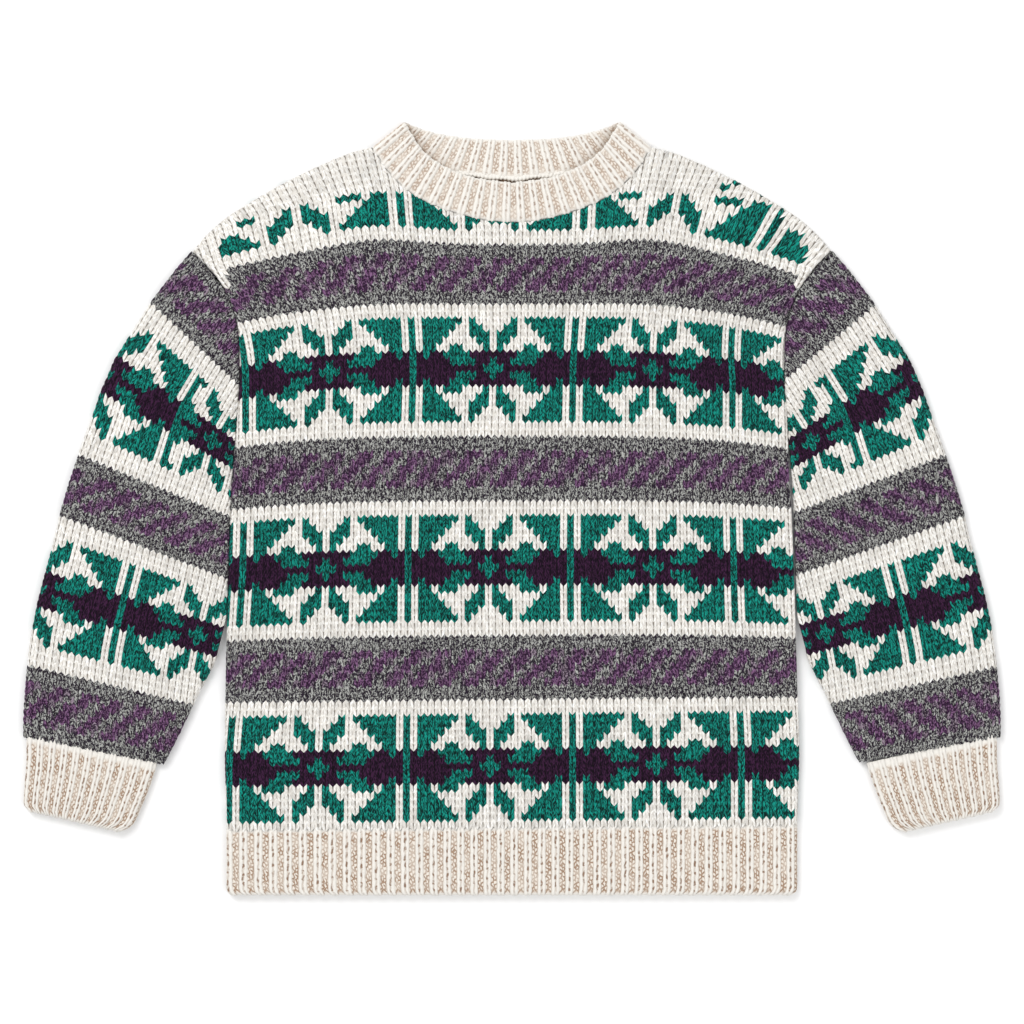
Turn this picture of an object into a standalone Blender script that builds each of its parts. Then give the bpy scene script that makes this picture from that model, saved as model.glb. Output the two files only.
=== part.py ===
"""A fair isle sweater of thick wool, laid flat on its back with the front showing.

The sweater lies in the XY plane with its neck towards +Y and its underside on Z = 0. It is symmetric
about X = 0. Lengths in the tables are millimetres on the laid-out garment, and everything built is in metres.
"""

import math
from collections import namedtuple

import bmesh
import bpy
import numpy as np

MM = 0.001

# Cloth thicknesses and clearances
WALL = 4.0
RIB_WALL = 3.2
RIB_HEIGHT = 1.3
LAYER_GAP = 0.5
SEAM_GAP = 0.3
ARMHOLE_GAP = 0.45
NECK_SEAM_GAP = 0.48

# Heights of the laid-out body above the floor
BODY_HEIGHT = 2 * WALL + LAYER_GAP
BODY_MIDDLE = BODY_HEIGHT / 2
EDGE_ROUND = BODY_MIDDLE
EDGE_DROP = 0.65 * BODY_MIDDLE
FRONT_PUFF = 2.2
SLEEVE_PUFF = 2.0

# Places along the body, from the hem to the shoulder tip
HEM_BOTTOM = -326.2
HEM_TOP = -270.4
HEM_CORNER = 7.0
SHOULDER_TIP = 217.0
SHOULDER_HALF = 270.0
UNDERARM = 7.0
NECK_CORNER_X = 118.3

# Ribs of the 1x1 ribbing: how many show on each piece
HEM_RIBS = 41
CUFF_RIBS = 11
NECK_FRONT_RIBS = 22
NECK_BACK_RIBS = 18

# The knit column of a rib, as shares of the rib, and the share that its flank takes
KNIT_FROM = 0.12
KNIT_TO = 0.50
RIB_FLANK = 0.12

# The neckband's fold at each shoulder, and how far it goes along the band
NECK_FOLD_RADIUS = 4.3
NECK_FOLD_SHARE = 0.015

# The widest step between the columns of the body panels
COLUMN_STEP = 17.0

Side = namedtuple("Side", "height half_width")
SIDE_SEAM = [
    Side(-270.4, 241.0),
    Side(-204.0, 242.5),
    Side(-108.0, 241.0),
    Side(7.0, 237.5),
    Side(74.0, 232.5),
    Side(115.0, 230.0),
    Side(142.0, 230.5),
    Side(163.0, 234.0),
    Side(186.0, 243.5),
    Side(203.0, 256.0),
    Side(217.0, 270.0),
]

Edge = namedtuple("Edge", "out height")
SHOULDER = [
    Edge(118.3, 305.0),
    Edge(132.0, 302.0),
    Edge(153.0, 294.0),
    Edge(189.0, 277.0),
    Edge(219.0, 260.0),
    Edge(245.0, 243.0),
    Edge(262.0, 227.0),
    Edge(270.0, 217.0),
]
FRONT_NECKLINE = [
    Edge(0.0, 241.7),
    Edge(16.0, 242.6),
    Edge(37.0, 246.7),
    Edge(62.0, 254.5),
    Edge(84.0, 265.5),
    Edge(103.0, 282.5),
    Edge(118.3, 305.0),
]
BACK_NECKLINE = [
    Edge(0.0, 279.3),
    Edge(48.0, 284.5),
    Edge(90.0, 294.5),
    Edge(118.3, 305.0),
]
FRONT_BAND_EDGE = [
    Edge(0.0, 274.6),
    Edge(31.0, 278.9),
    Edge(56.0, 288.0),
    Edge(75.0, 301.4),
    Edge(91.6, 326.2),
]
BACK_BAND_EDGE = [
    Edge(0.0, 311.0),
    Edge(24.0, 311.8),
    Edge(52.0, 314.6),
    Edge(73.0, 319.4),
    Edge(91.6, 326.2),
]

# Sleeve sections after the armhole, from the fold on the outside to the underarm edge
Section = namedtuple("Section", "outer_x outer_y inner_x inner_y")
SLEEVE = [
    Section(303.4, 175.8, 238.8, -13.5),
    Section(319.4, 150.4, 239.4, -31.3),
    Section(335.5, 125.1, 239.9, -48.2),
    Section(350.7, 87.0, 240.5, -69.3),
    Section(364.6, 49.0, 241.0, -87.9),
    Section(380.7, -1.7, 241.8, -109.0),
    Section(393.3, -52.4, 251.8, -131.0),
    Section(405.2, -103.1, 264.5, -155.5),
    Section(411.1, -153.8, 281.4, -190.1),
    Section(412.4, -193.5, 296.6, -219.7),
]
CUFF = [
    Section(409.6, -194.6, 301.4, -219.1),
    Section(409.9, -210.0, 306.5, -234.0),
    Section(411.5, -232.0, 314.0, -252.5),
    Section(412.4, -249.0, 322.5, -268.5),
    Section(407.0, -255.6, 332.0, -272.8),
]

# Soft ridges in the cloth, each a line with a width and a height
Fold = namedtuple("Fold", "x1 y1 x2 y2 width height")
BODY_FOLDS = [
    Fold(-226.0, 34.0, -104.0, 78.0, 20.0, 1.2),
    Fold(-232.0, -26.0, -136.0, -8.0, 24.0, 1.1),
    Fold(228.0, 22.0, 116.0, 58.0, 21.0, 1.2),
    Fold(232.0, -44.0, 128.0, -34.0, 24.0, 1.2),
    Fold(-150.0, -232.0, -172.0, -120.0, 26.0, 1.0),
    Fold(158.0, -240.0, 170.0, -140.0, 24.0, 1.1),
]
SLEEVE_FOLDS = [
    Fold(250.0, -40.0, 330.0, 8.0, 17.0, 1.3),
    Fold(254.0, -92.0, 346.0, -64.0, 18.0, 1.2),
    Fold(300.0, -170.0, 392.0, -150.0, 16.0, 1.0),
    Fold(282.0, 96.0, 316.0, 140.0, 15.0, 0.9),
]

YARNS = {
    "wool": (0.62, 0.60, 0.56),
    "rib": (0.80, 0.74, 0.66),
}


def clear_scene():
    """Removes whatever the scene holds before the sweater is built."""
    for thing in list(bpy.data.objects):
        bpy.data.objects.remove(thing, do_unlink=True)


def yarn_material(name):
    """A matt woollen material with the yarn's main colour."""
    material = bpy.data.materials.get(name) or bpy.data.materials.new(name)
    material.use_nodes = True
    shader = material.node_tree.nodes["Principled BSDF"]
    shader.inputs["Base Color"].default_value = (*YARNS[name], 1.0)
    shader.inputs["Roughness"].default_value = 0.92
    shader.inputs["Metallic"].default_value = 0.0
    return material


def eased(table, at):
    """The second column of a table at a value of its first, on a smooth curve that never overshoots a row."""
    x = np.array([row[0] for row in table], float)
    y = np.array([row[1] for row in table], float)
    step = np.diff(x)
    slope = np.diff(y) / step
    tangent = np.zeros(len(x))
    tangent[0], tangent[-1] = slope[0], slope[-1]
    for k in range(1, len(x) - 1):
        if slope[k - 1] * slope[k] > 0:
            before, after = 2 * step[k] + step[k - 1], step[k] + 2 * step[k - 1]
            tangent[k] = (before + after) / (before / slope[k - 1] + after / slope[k])
    at = min(max(at, x[0]), x[-1])
    k = min(int(np.searchsorted(x, at, side="right")) - 1, len(step) - 1)
    t = (at - x[k]) / step[k]
    rise = (3 - 2 * t) * t * t
    return float(
        y[k] * (1 - rise)
        + y[k + 1] * rise
        + step[k] * t * (1 - t) * ((1 - t) * tangent[k] - t * tangent[k + 1])
    )


def mixed(low, high, share):
    """The value a share of the way from low to high."""
    return low + (high - low) * share


def rounding(distance, radius):
    """How far a rounded edge has turned at a distance in from it: 1 at the edge, 0 past the radius."""
    inward = 1 - min(max(distance / radius, 0.0), 1.0)
    return 1 - math.sqrt(1 - inward * inward)


def fold_rise(folds, x, y):
    """The height that the soft ridges add to the cloth at a place."""
    total = 0.0
    for fold in folds:
        run_x, run_y = fold.x2 - fold.x1, fold.y2 - fold.y1
        length_squared = run_x * run_x + run_y * run_y
        share = ((x - fold.x1) * run_x + (y - fold.y1) * run_y) / length_squared
        if 0 < share < 1:
            off_x, off_y = x - fold.x1 - share * run_x, y - fold.y1 - share * run_y
            off = math.hypot(off_x, off_y) / fold.width
            total += fold.height * math.sin(math.pi * share) * math.exp(-off * off)
    return total


def rib_wave(ribs_along):
    """The share of the rib height at a place counted in ribs: a knit column, then a purl furrow."""
    phase = ribs_along % 1.0
    half_flank = RIB_FLANK / 2
    return float(KNIT_FROM - half_flank < phase < KNIT_TO + half_flank)


def cloth_wall(name, across, along, outer, inner, material, ring=False):
    """Builds one closed piece of cloth from a grid of shares across and along it.

    The grid becomes the outer skin and its extruded copy the inner one, and outer and inner say where a
    share of the way across and along lies, in millimetres. A ring's first and last columns are welded.
    """
    last_column, last_row = len(across) - 1, len(along) - 1
    mesh = bmesh.new()
    bmesh.ops.create_grid(mesh, x_segments=last_column, y_segments=last_row, size=0.5)
    made = bmesh.ops.extrude_face_region(mesh, geom=mesh.faces[:])
    inside = {v for v in made["geom"] if isinstance(v, bmesh.types.BMVert)}
    place = {
        v: (round((v.co.x + 0.5) * last_column), round((v.co.y + 0.5) * last_row))
        for v in mesh.verts
    }
    if ring:
        joining = [
            face
            for face in mesh.faces
            if {place[v][0] for v in face.verts} in ({0}, {last_column})
        ]
        bmesh.ops.delete(mesh, geom=joining, context="FACES_ONLY")
    for v, (column, row) in place.items():
        skin = inner if v in inside else outer
        v.co = [length * MM for length in skin(across[column], along[row])]
    if ring:
        bmesh.ops.remove_doubles(mesh, verts=mesh.verts[:], dist=0.001 * MM)
    bmesh.ops.recalc_face_normals(mesh, faces=mesh.faces[:])
    data = bpy.data.meshes.new(name)
    mesh.to_mesh(data)
    mesh.free()
    data.shade_smooth()
    data.set_sharp_from_angle(angle=math.radians(40))
    data.materials.append(yarn_material(material))
    piece = bpy.data.objects.new(name, data)
    bpy.context.scene.collection.objects.link(piece)
    return piece


def body_rows():
    """Shares of the way up the body, one for each row of the side seam's table and between the long ones."""
    heights = [row.height for row in SIDE_SEAM]
    rows = []
    for low, high in zip(heights, heights[1:]):
        parts = 2 if high - low > 60 else 1
        rows += [mixed(low, high, k / parts) for k in range(parts)]
    rows = [(height - HEM_TOP) / (SHOULDER_TIP - HEM_TOP) for height in rows]
    return rows + [0.9925, 1.0]


def body_columns(neckline):
    """Shares of the way out to the shoulder tip, with one at each point of the neckline and shoulder."""
    named = [edge.out for edge in neckline + SHOULDER[1:]]
    outs = []
    for near, far in zip(named, named[1:]):
        parts = math.ceil((far - near) / COLUMN_STEP)
        outs += [mixed(near, far, k / parts) for k in range(parts)]
    outs += [SHOULDER_HALF - 4.4, SHOULDER_HALF - 1.3, SHOULDER_HALF]
    shares = [out / SHOULDER_HALF for out in outs]
    return [-share for share in reversed(shares[1:])] + shares


def body_place(across, along, neckline):
    """Where a share of the way across and up a panel lies, and its distance in from the nearest edge."""
    half_width = eased(SIDE_SEAM, mixed(HEM_TOP, SHOULDER_TIP, along))
    out = abs(across) * SHOULDER_HALF
    top = eased(neckline if out < NECK_CORNER_X else SHOULDER, out)
    height = mixed(HEM_TOP, top, along)
    from_side = (1 - abs(across)) * half_width
    from_shoulder = top - height if out > NECK_CORNER_X else EDGE_ROUND
    return across * half_width, height, min(from_side, from_shoulder)


def body_puff(across, along, x, y):
    """How far the front stands above its resting level: a soft dome with the folds on it."""
    dome = (1 - across**4) * max(math.sin(math.pi * along), 0.0) ** 0.7
    settled = 1 - rounding(1 - along, 0.06)
    return (FRONT_PUFF * dome + fold_rise(BODY_FOLDS, x, y)) * settled


def build_front():
    """The front panel, its sides and shoulders rolled down to meet the back."""

    def outer(across, along):
        x, y, edge = body_place(across, along, FRONT_NECKLINE)
        turned = rounding(edge, EDGE_ROUND)
        rise = body_puff(across, along, x, y) * (1 - turned)
        return x, y, BODY_HEIGHT + rise - EDGE_DROP * turned

    def inner(across, along):
        x, y, edge = body_place(across, along, FRONT_NECKLINE)
        turned = rounding(edge, EDGE_ROUND)
        rise = body_puff(across, along, x, y) * (1 - turned)
        level = mixed(LAYER_GAP, SEAM_GAP, turned) / 2
        return x, y, BODY_MIDDLE + level + rise

    columns = body_columns(FRONT_NECKLINE)
    cloth_wall("front", columns, body_rows(), outer, inner, "wool")


def build_back():
    """The back panel, flat on the floor, its sides and shoulders rolled up to meet the front."""

    def outer(across, along):
        x, y, edge = body_place(across, along, BACK_NECKLINE)
        return x, y, EDGE_DROP * rounding(edge, EDGE_ROUND)

    def inner(across, along):
        x, y, edge = body_place(across, along, BACK_NECKLINE)
        level = mixed(LAYER_GAP, SEAM_GAP, rounding(edge, EDGE_ROUND)) / 2
        return x, y, BODY_MIDDLE - level

    cloth_wall("back", body_columns(BACK_NECKLINE), body_rows(), outer, inner, "wool")


def rib_columns(ribs):
    """Shares of the way along some ribs at which the rib wave turns, four for each rib."""
    turns = (KNIT_FROM - RIB_FLANK, KNIT_FROM, KNIT_TO, KNIT_TO + RIB_FLANK)
    return [(rib + turn) / ribs for rib in range(ribs) for turn in turns] + [1.0]


def hem_place(across, along):
    """Where a share across and up the hem rib lies, and its distance in from the side."""
    height = mixed(HEM_BOTTOM, HEM_TOP - SEAM_GAP, along)
    drawn_in = 0.6 * HEM_CORNER * rounding(height - HEM_BOTTOM, HEM_CORNER)
    half_width = SIDE_SEAM[0].half_width - drawn_in
    side = 2 * across - 1
    return side * half_width, height, (1 - abs(side)) * half_width


def build_hem():
    """The hem's 1x1 rib in two pieces: the front one ribbed where it shows, the back one flat."""
    edge_share = 1.5 / (HEM_TOP - HEM_BOTTOM)

    def front_outer(across, along):
        x, y, edge = hem_place(across, along)
        turned = max(rounding(edge, EDGE_ROUND), 0.5 * rounding(along, 0.06))
        rib = RIB_HEIGHT * rib_wave(across * HEM_RIBS) * (1 - turned)
        level = BODY_MIDDLE + LAYER_GAP / 2 + RIB_WALL
        return x, y, level + rib - 0.5 * BODY_MIDDLE * turned

    def front_inner(across, along):
        x, y, edge = hem_place(across, along)
        level = mixed(LAYER_GAP, SEAM_GAP, rounding(edge, EDGE_ROUND)) / 2
        return x, y, BODY_MIDDLE + level

    def back_outer(across, along):
        x, y, edge = hem_place(across, along)
        return x, y, EDGE_DROP * rounding(edge, EDGE_ROUND)

    def back_inner(across, along):
        x, y, edge = hem_place(across, along)
        level = mixed(LAYER_GAP, SEAM_GAP, rounding(edge, EDGE_ROUND)) / 2
        return x, y, BODY_MIDDLE - level

    rows = [0.0, edge_share, 4 * edge_share, 1.0]
    ribbed = rib_columns(HEM_RIBS)
    cloth_wall("hem_front", ribbed, rows, front_outer, front_inner, "rib")
    plain = [0.0, 0.003, 0.01, 0.25, 0.5, 0.75, 0.99, 0.997, 1.0]
    cloth_wall("hem_back", plain, rows, back_outer, back_inner, "rib")


def tube_profile(top_shares, bottom_count, arc_count):
    """Points round a flattened tube as (side, value): 0 and 2 are the rolled edges, 1 and 3 the walls."""
    arc = np.linspace(-math.pi / 2, math.pi / 2, arc_count)
    points = [(0, turn) for turn in arc]
    points += [(1, share) for share in top_shares]
    points += [(2, turn) for turn in reversed(arc)]
    points += [(3, (k + 1) / (bottom_count + 1)) for k in range(bottom_count)]
    return points + points[:1]


def tube_point(point, width, radius, inset, rise):
    """How far across a flattened tube a profile point lies, and its height above the floor."""
    side, value = point
    turn_radius = radius - inset
    if side == 1:
        return mixed(radius, width - radius, value), 2 * radius - inset + rise
    if side == 3:
        return mixed(width - radius, radius, value), inset
    inward = inset + turn_radius * (1 - math.cos(value))
    height = radius + turn_radius * math.sin(value)
    return (inward if side == 0 else width - inward), height


def armhole_curve():
    """The armhole seam from the shoulder tip to the underarm, just clear of the body."""
    heights = np.linspace(SHOULDER_TIP, UNDERARM, 13)
    line = np.array([(eased(SIDE_SEAM, height), height) for height in heights])
    along = np.gradient(line, axis=0)
    outward = np.stack([-along[:, 1], along[:, 0]], axis=1)
    outward /= np.linalg.norm(outward, axis=1)[:, None]
    return line + ARMHOLE_GAP * outward


def sleeve_lines():
    """Each section of the sleeve as a line of places from its outer fold to its underarm edge."""
    armhole = armhole_curve()
    chord = np.linspace(armhole[0], armhole[-1], len(armhole))
    lines = [armhole]
    for row, section in enumerate(SLEEVE):
        start, end = np.array(section[:2]), np.array(section[2:])
        line = np.linspace(start, end, len(armhole))
        lines.append(line + (armhole - chord) * 0.5 ** (row + 1) * (row < 4))
    return lines


def line_place(line, share):
    """The place a share of the way along a line of evenly spaced points."""
    at = min(max(share, 0.0), 1.0) * (len(line) - 1)
    k = min(int(at), len(line) - 2)
    return line[k] + (line[k + 1] - line[k]) * (at - k)


def build_sleeve(name, side):
    """A sleeve as a flattened tube, from the armhole to the cuff. Side is +1 or -1, the sign of its X."""
    lines = sleeve_lines()
    widths = [float(np.linalg.norm(line[-1] - line[0])) for line in lines]
    last = len(lines) - 1

    def skin(inset):
        def place(point, along):
            row = round(along * last)
            line, width = lines[row], widths[row]
            rise = 0.0
            if point[0] == 1:
                x, y = line_place(line, point[1])
                dome = math.sin(math.pi * point[1]) ** 0.7
                ends = math.sin(math.pi * min(max(along, 0.04), 0.96)) ** 0.5
                rise = SLEEVE_PUFF * dome * ends
                rise += fold_rise(SLEEVE_FOLDS, x, y) * dome * ends
            across, height = tube_point(point, width, BODY_MIDDLE, inset, rise)
            x, y = line_place(line, across / width)
            return side * x, y, height

        return place

    top = [(k + 1) / 10 for k in range(9)]
    profile = tube_profile(top, 5, 5)
    rows = [k / last for k in range(last + 1)]
    cloth_wall(name, profile, rows, skin(0.0), skin(WALL), "wool", ring=True)


def build_cuff(name, side):
    """A cuff as a flattened tube with its ribs raised on the wall that shows."""
    last = len(CUFF) - 1
    radius = RIB_WALL + LAYER_GAP / 2

    def skin(inset):
        def place(point, along):
            section = CUFF[round(along * last)]
            start, end = np.array(section[:2]), np.array(section[2:])
            width = float(np.linalg.norm(end - start))
            rib = 0.0
            if point[0] == 1 and inset == 0:
                rib = RIB_HEIGHT * rib_wave(point[1] * CUFF_RIBS)
                rib *= 1 - 0.5 * (along == 1)
            across, height = tube_point(point, width, radius, inset, rib)
            x, y = mixed(start, end, across / width)
            return side * x, y, height

        return place

    profile = tube_profile(rib_columns(CUFF_RIBS)[1:-1], 5, 5)
    rows = [k / last for k in range(last + 1)]
    cloth_wall(name, profile, rows, skin(0.0), skin(RIB_WALL), "rib", ring=True)


def walked_edge(table):
    """A symmetric edge as a function of a share of its length, from its end at -X to its end at +X."""
    reach = table[-1].out
    outs = np.linspace(-reach, reach, 241)
    heights = np.array([eased(table, abs(out)) for out in outs])
    steps = np.hypot(np.diff(outs), np.diff(heights))
    length = np.concatenate([[0.0], np.cumsum(steps)]) / steps.sum()
    return lambda share: np.array([np.interp(share, length, side) for side in (outs, heights)])


def build_neckband():
    """The neckband: a rib ring whose front half lies over its back half, folded at the two shoulders."""
    arc = np.radians([-90, -45, 0, 45, 90])
    near_fold = [("near_fold", turn) for turn in arc]
    front = [("front", share) for share in rib_columns(NECK_FRONT_RIBS)[1:-1]]
    far_fold = [("far_fold", turn) for turn in reversed(arc)]
    back = [("back", share) for share in rib_columns(NECK_BACK_RIBS)[1:-1]]
    profile = near_fold + front + far_fold + back + near_fold[:1]
    edges = {
        "front": (walked_edge(FRONT_NECKLINE), walked_edge(FRONT_BAND_EDGE)),
        "back": (walked_edge(BACK_NECKLINE), walked_edge(BACK_BAND_EDGE)),
    }

    def level(point, inset):
        """The half that a profile point is in, its share along that half, and its height and rib height."""
        stretch, value = point
        if stretch == "front":
            rib = RIB_HEIGHT * rib_wave(value * NECK_FRONT_RIBS) * (inset == 0)
            share = mixed(NECK_FOLD_SHARE, 1 - NECK_FOLD_SHARE, value)
            return "front", share, 2 * NECK_FOLD_RADIUS - inset, rib
        if stretch == "back":
            fade = (inset > 0) * (1 - rounding(0.5 - abs(value - 0.5), 0.12))
            rib = (RIB_HEIGHT * rib_wave(value * NECK_BACK_RIBS) - 0.2) * fade
            share = mixed(1 - NECK_FOLD_SHARE, NECK_FOLD_SHARE, value)
            return "back", share, inset, rib
        turned = NECK_FOLD_RADIUS - inset
        inward = inset + turned * (1 - math.cos(value))
        share = NECK_FOLD_SHARE * inward / NECK_FOLD_RADIUS
        half = "front" if value > 0 else "back"
        height = NECK_FOLD_RADIUS + turned * math.sin(value)
        return half, share if stretch == "near_fold" else 1 - share, height, 0.0

    def skin(inset):
        def place(point, along):
            half, share, height, rib = level(point, inset)
            sewn, free = (edge(share) for edge in edges[half])
            depth = float(np.linalg.norm(free - sewn))
            x, y = mixed(sewn, free, mixed(NECK_SEAM_GAP / depth, 1.0, along))
            return x, y, height + rib * (1 - 0.4 * (along in (0.0, 1.0)))

        return place

    rows = [0.0, 0.08, 0.92, 1.0]
    cloth_wall("neckband", profile, rows, skin(0.0), skin(RIB_WALL), "rib", ring=True)


def build_sweater():
    """Builds every piece of the sweater."""
    clear_scene()
    build_front()
    build_back()
    build_hem()
    for name, side in (("right", -1), ("left", 1)):
        build_sleeve(f"sleeve_{name}", side)
        build_cuff(f"cuff_{name}", side)
    build_neckband()


build_sweater()
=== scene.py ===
"""Dresses the laid-out fair isle sweater in its knitting.

Every stitch is a pair of raised legs in the mesh, worked from a chart, and the ribs are
raised columns between purl furrows. Tables and sizes are millimetres in the frame of the packed
sweater: +X to its left sleeve, +Y to its neck, +Z up from the surface that it lies on. Meshes are
written in metres.
"""

import logging
import math
from collections.abc import Sequence
from dataclasses import dataclass
from enum import Enum, IntEnum

import bmesh
import bpy
import numpy as np
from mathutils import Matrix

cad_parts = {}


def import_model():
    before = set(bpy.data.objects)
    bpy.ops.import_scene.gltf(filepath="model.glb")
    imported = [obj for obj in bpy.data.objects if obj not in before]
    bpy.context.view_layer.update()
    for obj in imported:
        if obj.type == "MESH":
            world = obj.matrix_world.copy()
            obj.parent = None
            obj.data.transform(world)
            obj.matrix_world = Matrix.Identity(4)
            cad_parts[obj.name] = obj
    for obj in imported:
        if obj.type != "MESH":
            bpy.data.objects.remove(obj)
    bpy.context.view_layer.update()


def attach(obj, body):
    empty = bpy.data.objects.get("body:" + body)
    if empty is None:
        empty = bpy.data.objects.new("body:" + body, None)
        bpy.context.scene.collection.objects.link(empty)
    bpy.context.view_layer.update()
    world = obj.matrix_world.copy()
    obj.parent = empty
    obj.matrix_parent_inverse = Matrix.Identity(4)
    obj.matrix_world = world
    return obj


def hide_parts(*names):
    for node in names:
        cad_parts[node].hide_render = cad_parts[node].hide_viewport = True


LOG = logging.getLogger("fair_isle_sweater")
MM = 0.001
ROOT = "root"
BAKE_UV = "OFBake"
STITCH_UV = "Stitch"

WALL_MIDDLE = 4.25
BODY_TOP = 8.5
LEG_HEIGHT = 1.5
RIB_HEIGHT = 1.8
UNDER_LEGS = WALL_MIDDLE - 1.15 * LEG_HEIGHT
LEGS_LIE = BODY_TOP - 0.5 * LEG_HEIGHT
RIB_LIES = 1.12 * RIB_HEIGHT
LEAST_RELIEF = 0.25
DOME_POWER = 0.7
NEARLY_ZERO = 1e-9
SEED = 20
WHITE = (1.0, 1.0, 1.0, 1.0)
Built = tuple[bpy.types.Object, float | None]


def linear(red: int, green: int, blue: int) -> tuple[float, float, float, float]:
    """A display colour as the linear colour that a shader takes.

    Args:
        red: the red part, from 0 to 255.
        green: the green part.
        blue: the blue part.

    Returns:
        The linear colour, with full opacity.
    """
    shares = (value / 255 for value in (red, green, blue))
    parts = [s / 12.92 if s <= 0.04045 else ((s + 0.055) / 1.055) ** 2.4 for s in shares]
    return (parts[0], parts[1], parts[2], 1.0)


class Yarn(IntEnum):
    """The yarns of the colourwork."""

    CREAM = 0
    GREEN = 1
    PLUM = 2
    MARL = 3
    PURPLE = 4
    MAUVE = 5


@dataclass(frozen=True)
class StrandsAndPaintedLight:
    """A yarn's light and dark colours, which part softly at fleck 0 and as flecks at 1.

    On a plain yarn they are a painted highlight and a painted shade, on a flecked yarn its real strands.
    """

    light: tuple[float, float, float, float]
    dark: tuple[float, float, float, float]
    fleck: float = 0.0


# Plain yarns, at fleck 0, carry a painted highlight and a painted shade of their colour; the flecked
# yarns (marl, purple, mauve) carry their real light and dark strands.
YARNS = {
    Yarn.CREAM: StrandsAndPaintedLight(linear(249, 247, 243), linear(220, 215, 207)),
    Yarn.GREEN: StrandsAndPaintedLight(linear(14, 147, 132), linear(0, 34, 34)),
    Yarn.PLUM: StrandsAndPaintedLight(linear(60, 28, 59), linear(14, 0, 18)),
    Yarn.MARL: StrandsAndPaintedLight(linear(172, 173, 169), linear(38, 30, 42), 1.0),
    Yarn.PURPLE: StrandsAndPaintedLight(linear(128, 92, 128), linear(46, 24, 50), 1.0),
    Yarn.MAUVE: StrandsAndPaintedLight(linear(148, 132, 146), linear(42, 28, 46), 1.0),
}


class Band(Enum):
    """What a stretch of rows is worked in."""

    PLAIN = "plain"
    MARL = "marl"
    STAR = "star"


class Layer(IntEnum):
    """Which of the two layers of the laid-out garment a panel is."""

    UPPER = 1
    UNDER = -1


class Curve:
    """A smooth curve through a short table of (at, value) rows that never overshoots one."""

    def __init__(self, rows: Sequence[tuple[float, float]]) -> None:
        """Works out the slope at each row.

        Args:
            rows: the table, with rising places in its first column.
        """
        self.at = np.array([row[0] for row in rows], float)
        self.value = np.array([row[1] for row in rows], float)
        step = np.diff(self.at)
        slope = np.diff(self.value) / step
        self.tangent = np.zeros(len(self.at))
        self.tangent[0], self.tangent[-1] = slope[0], slope[-1]
        for k in range(1, len(self.at) - 1):
            if slope[k - 1] * slope[k] > 0:
                before, after = 2 * step[k] + step[k - 1], step[k] + 2 * step[k - 1]
                self.tangent[k] = (before + after) / (before / slope[k - 1] + after / slope[k])

    def __call__(self, at: np.ndarray | float) -> np.ndarray:
        """The curve's value at one place or many.

        Args:
            at: where to read the curve, held to the table's ends.

        Returns:
            The values, in the shape of the places.
        """
        at = np.clip(at, self.at[0], self.at[-1])
        k = np.clip(np.searchsorted(self.at, at, side="right") - 1, 0, len(self.at) - 2)
        step = self.at[k + 1] - self.at[k]
        t = (at - self.at[k]) / step
        rise = (3 - 2 * t) * t * t
        bend = t * (1 - t) * ((1 - t) * self.tangent[k] - t * self.tangent[k + 1])
        return self.value[k] * (1 - rise) + self.value[k + 1] * rise + step * bend


class WalkedLine:
    """A line in plan that is read by its length."""

    def __init__(self, points: np.ndarray) -> None:
        """Measures the line.

        Args:
            points: its points in order, one row of x and y each.
        """
        self.points = points
        steps = np.hypot(*np.diff(points, axis=0).T)
        self.walked = np.concatenate([[0.0], np.cumsum(steps)])
        self.length = float(self.walked[-1])

    def __call__(self, walked: np.ndarray) -> np.ndarray:
        """The places at some lengths along the line, with x and y last."""
        return np.stack([np.interp(walked, self.walked, side) for side in self.points.T], axis=-1)

    @classmethod
    def mirrored(cls, half: Curve) -> "WalkedLine":
        """A symmetric line from the curve of its half at +X, walked from -X to +X."""
        outs = np.linspace(-half.at[-1], half.at[-1], 481)
        return cls(np.stack([outs, half(np.abs(outs))], axis=-1))


SIDE_SEAM = Curve([
    (-330.0, 241.0), (-270.4, 241.0), (-204.0, 242.5), (-108.0, 241.0), (7.0, 237.5), (74.0, 232.5),
    (115.0, 230.0), (142.0, 230.5), (163.0, 234.0), (186.0, 243.5), (203.0, 256.0), (217.0, 270.0),
])
SHOULDER = Curve([
    (118.3, 305.0), (132.0, 302.0), (153.0, 294.0), (189.0, 277.0), (219.0, 260.0), (245.0, 243.0),
    (262.0, 227.0), (270.0, 217.0),
])
FRONT_NECKLINE = Curve([
    (0.0, 241.7), (16.0, 242.6), (37.0, 246.7), (62.0, 254.5), (84.0, 265.5), (103.0, 282.5),
    (118.3, 305.0),
])
BACK_NECKLINE = Curve([(0.0, 279.3), (48.0, 284.5), (90.0, 294.5), (118.3, 305.0)])
FRONT_BAND_EDGE = Curve([(0.0, 274.6), (31.0, 278.9), (56.0, 288.0), (75.0, 301.4), (91.6, 326.2)])
BACK_BAND_EDGE = Curve([(0.0, 311.0), (24.0, 311.8), (52.0, 314.6), (73.0, 319.4), (91.6, 326.2)])
HEM_BOTTOM = -326.2
HEM_TOP = -270.4
NECK_CORNER = 118.3

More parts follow.
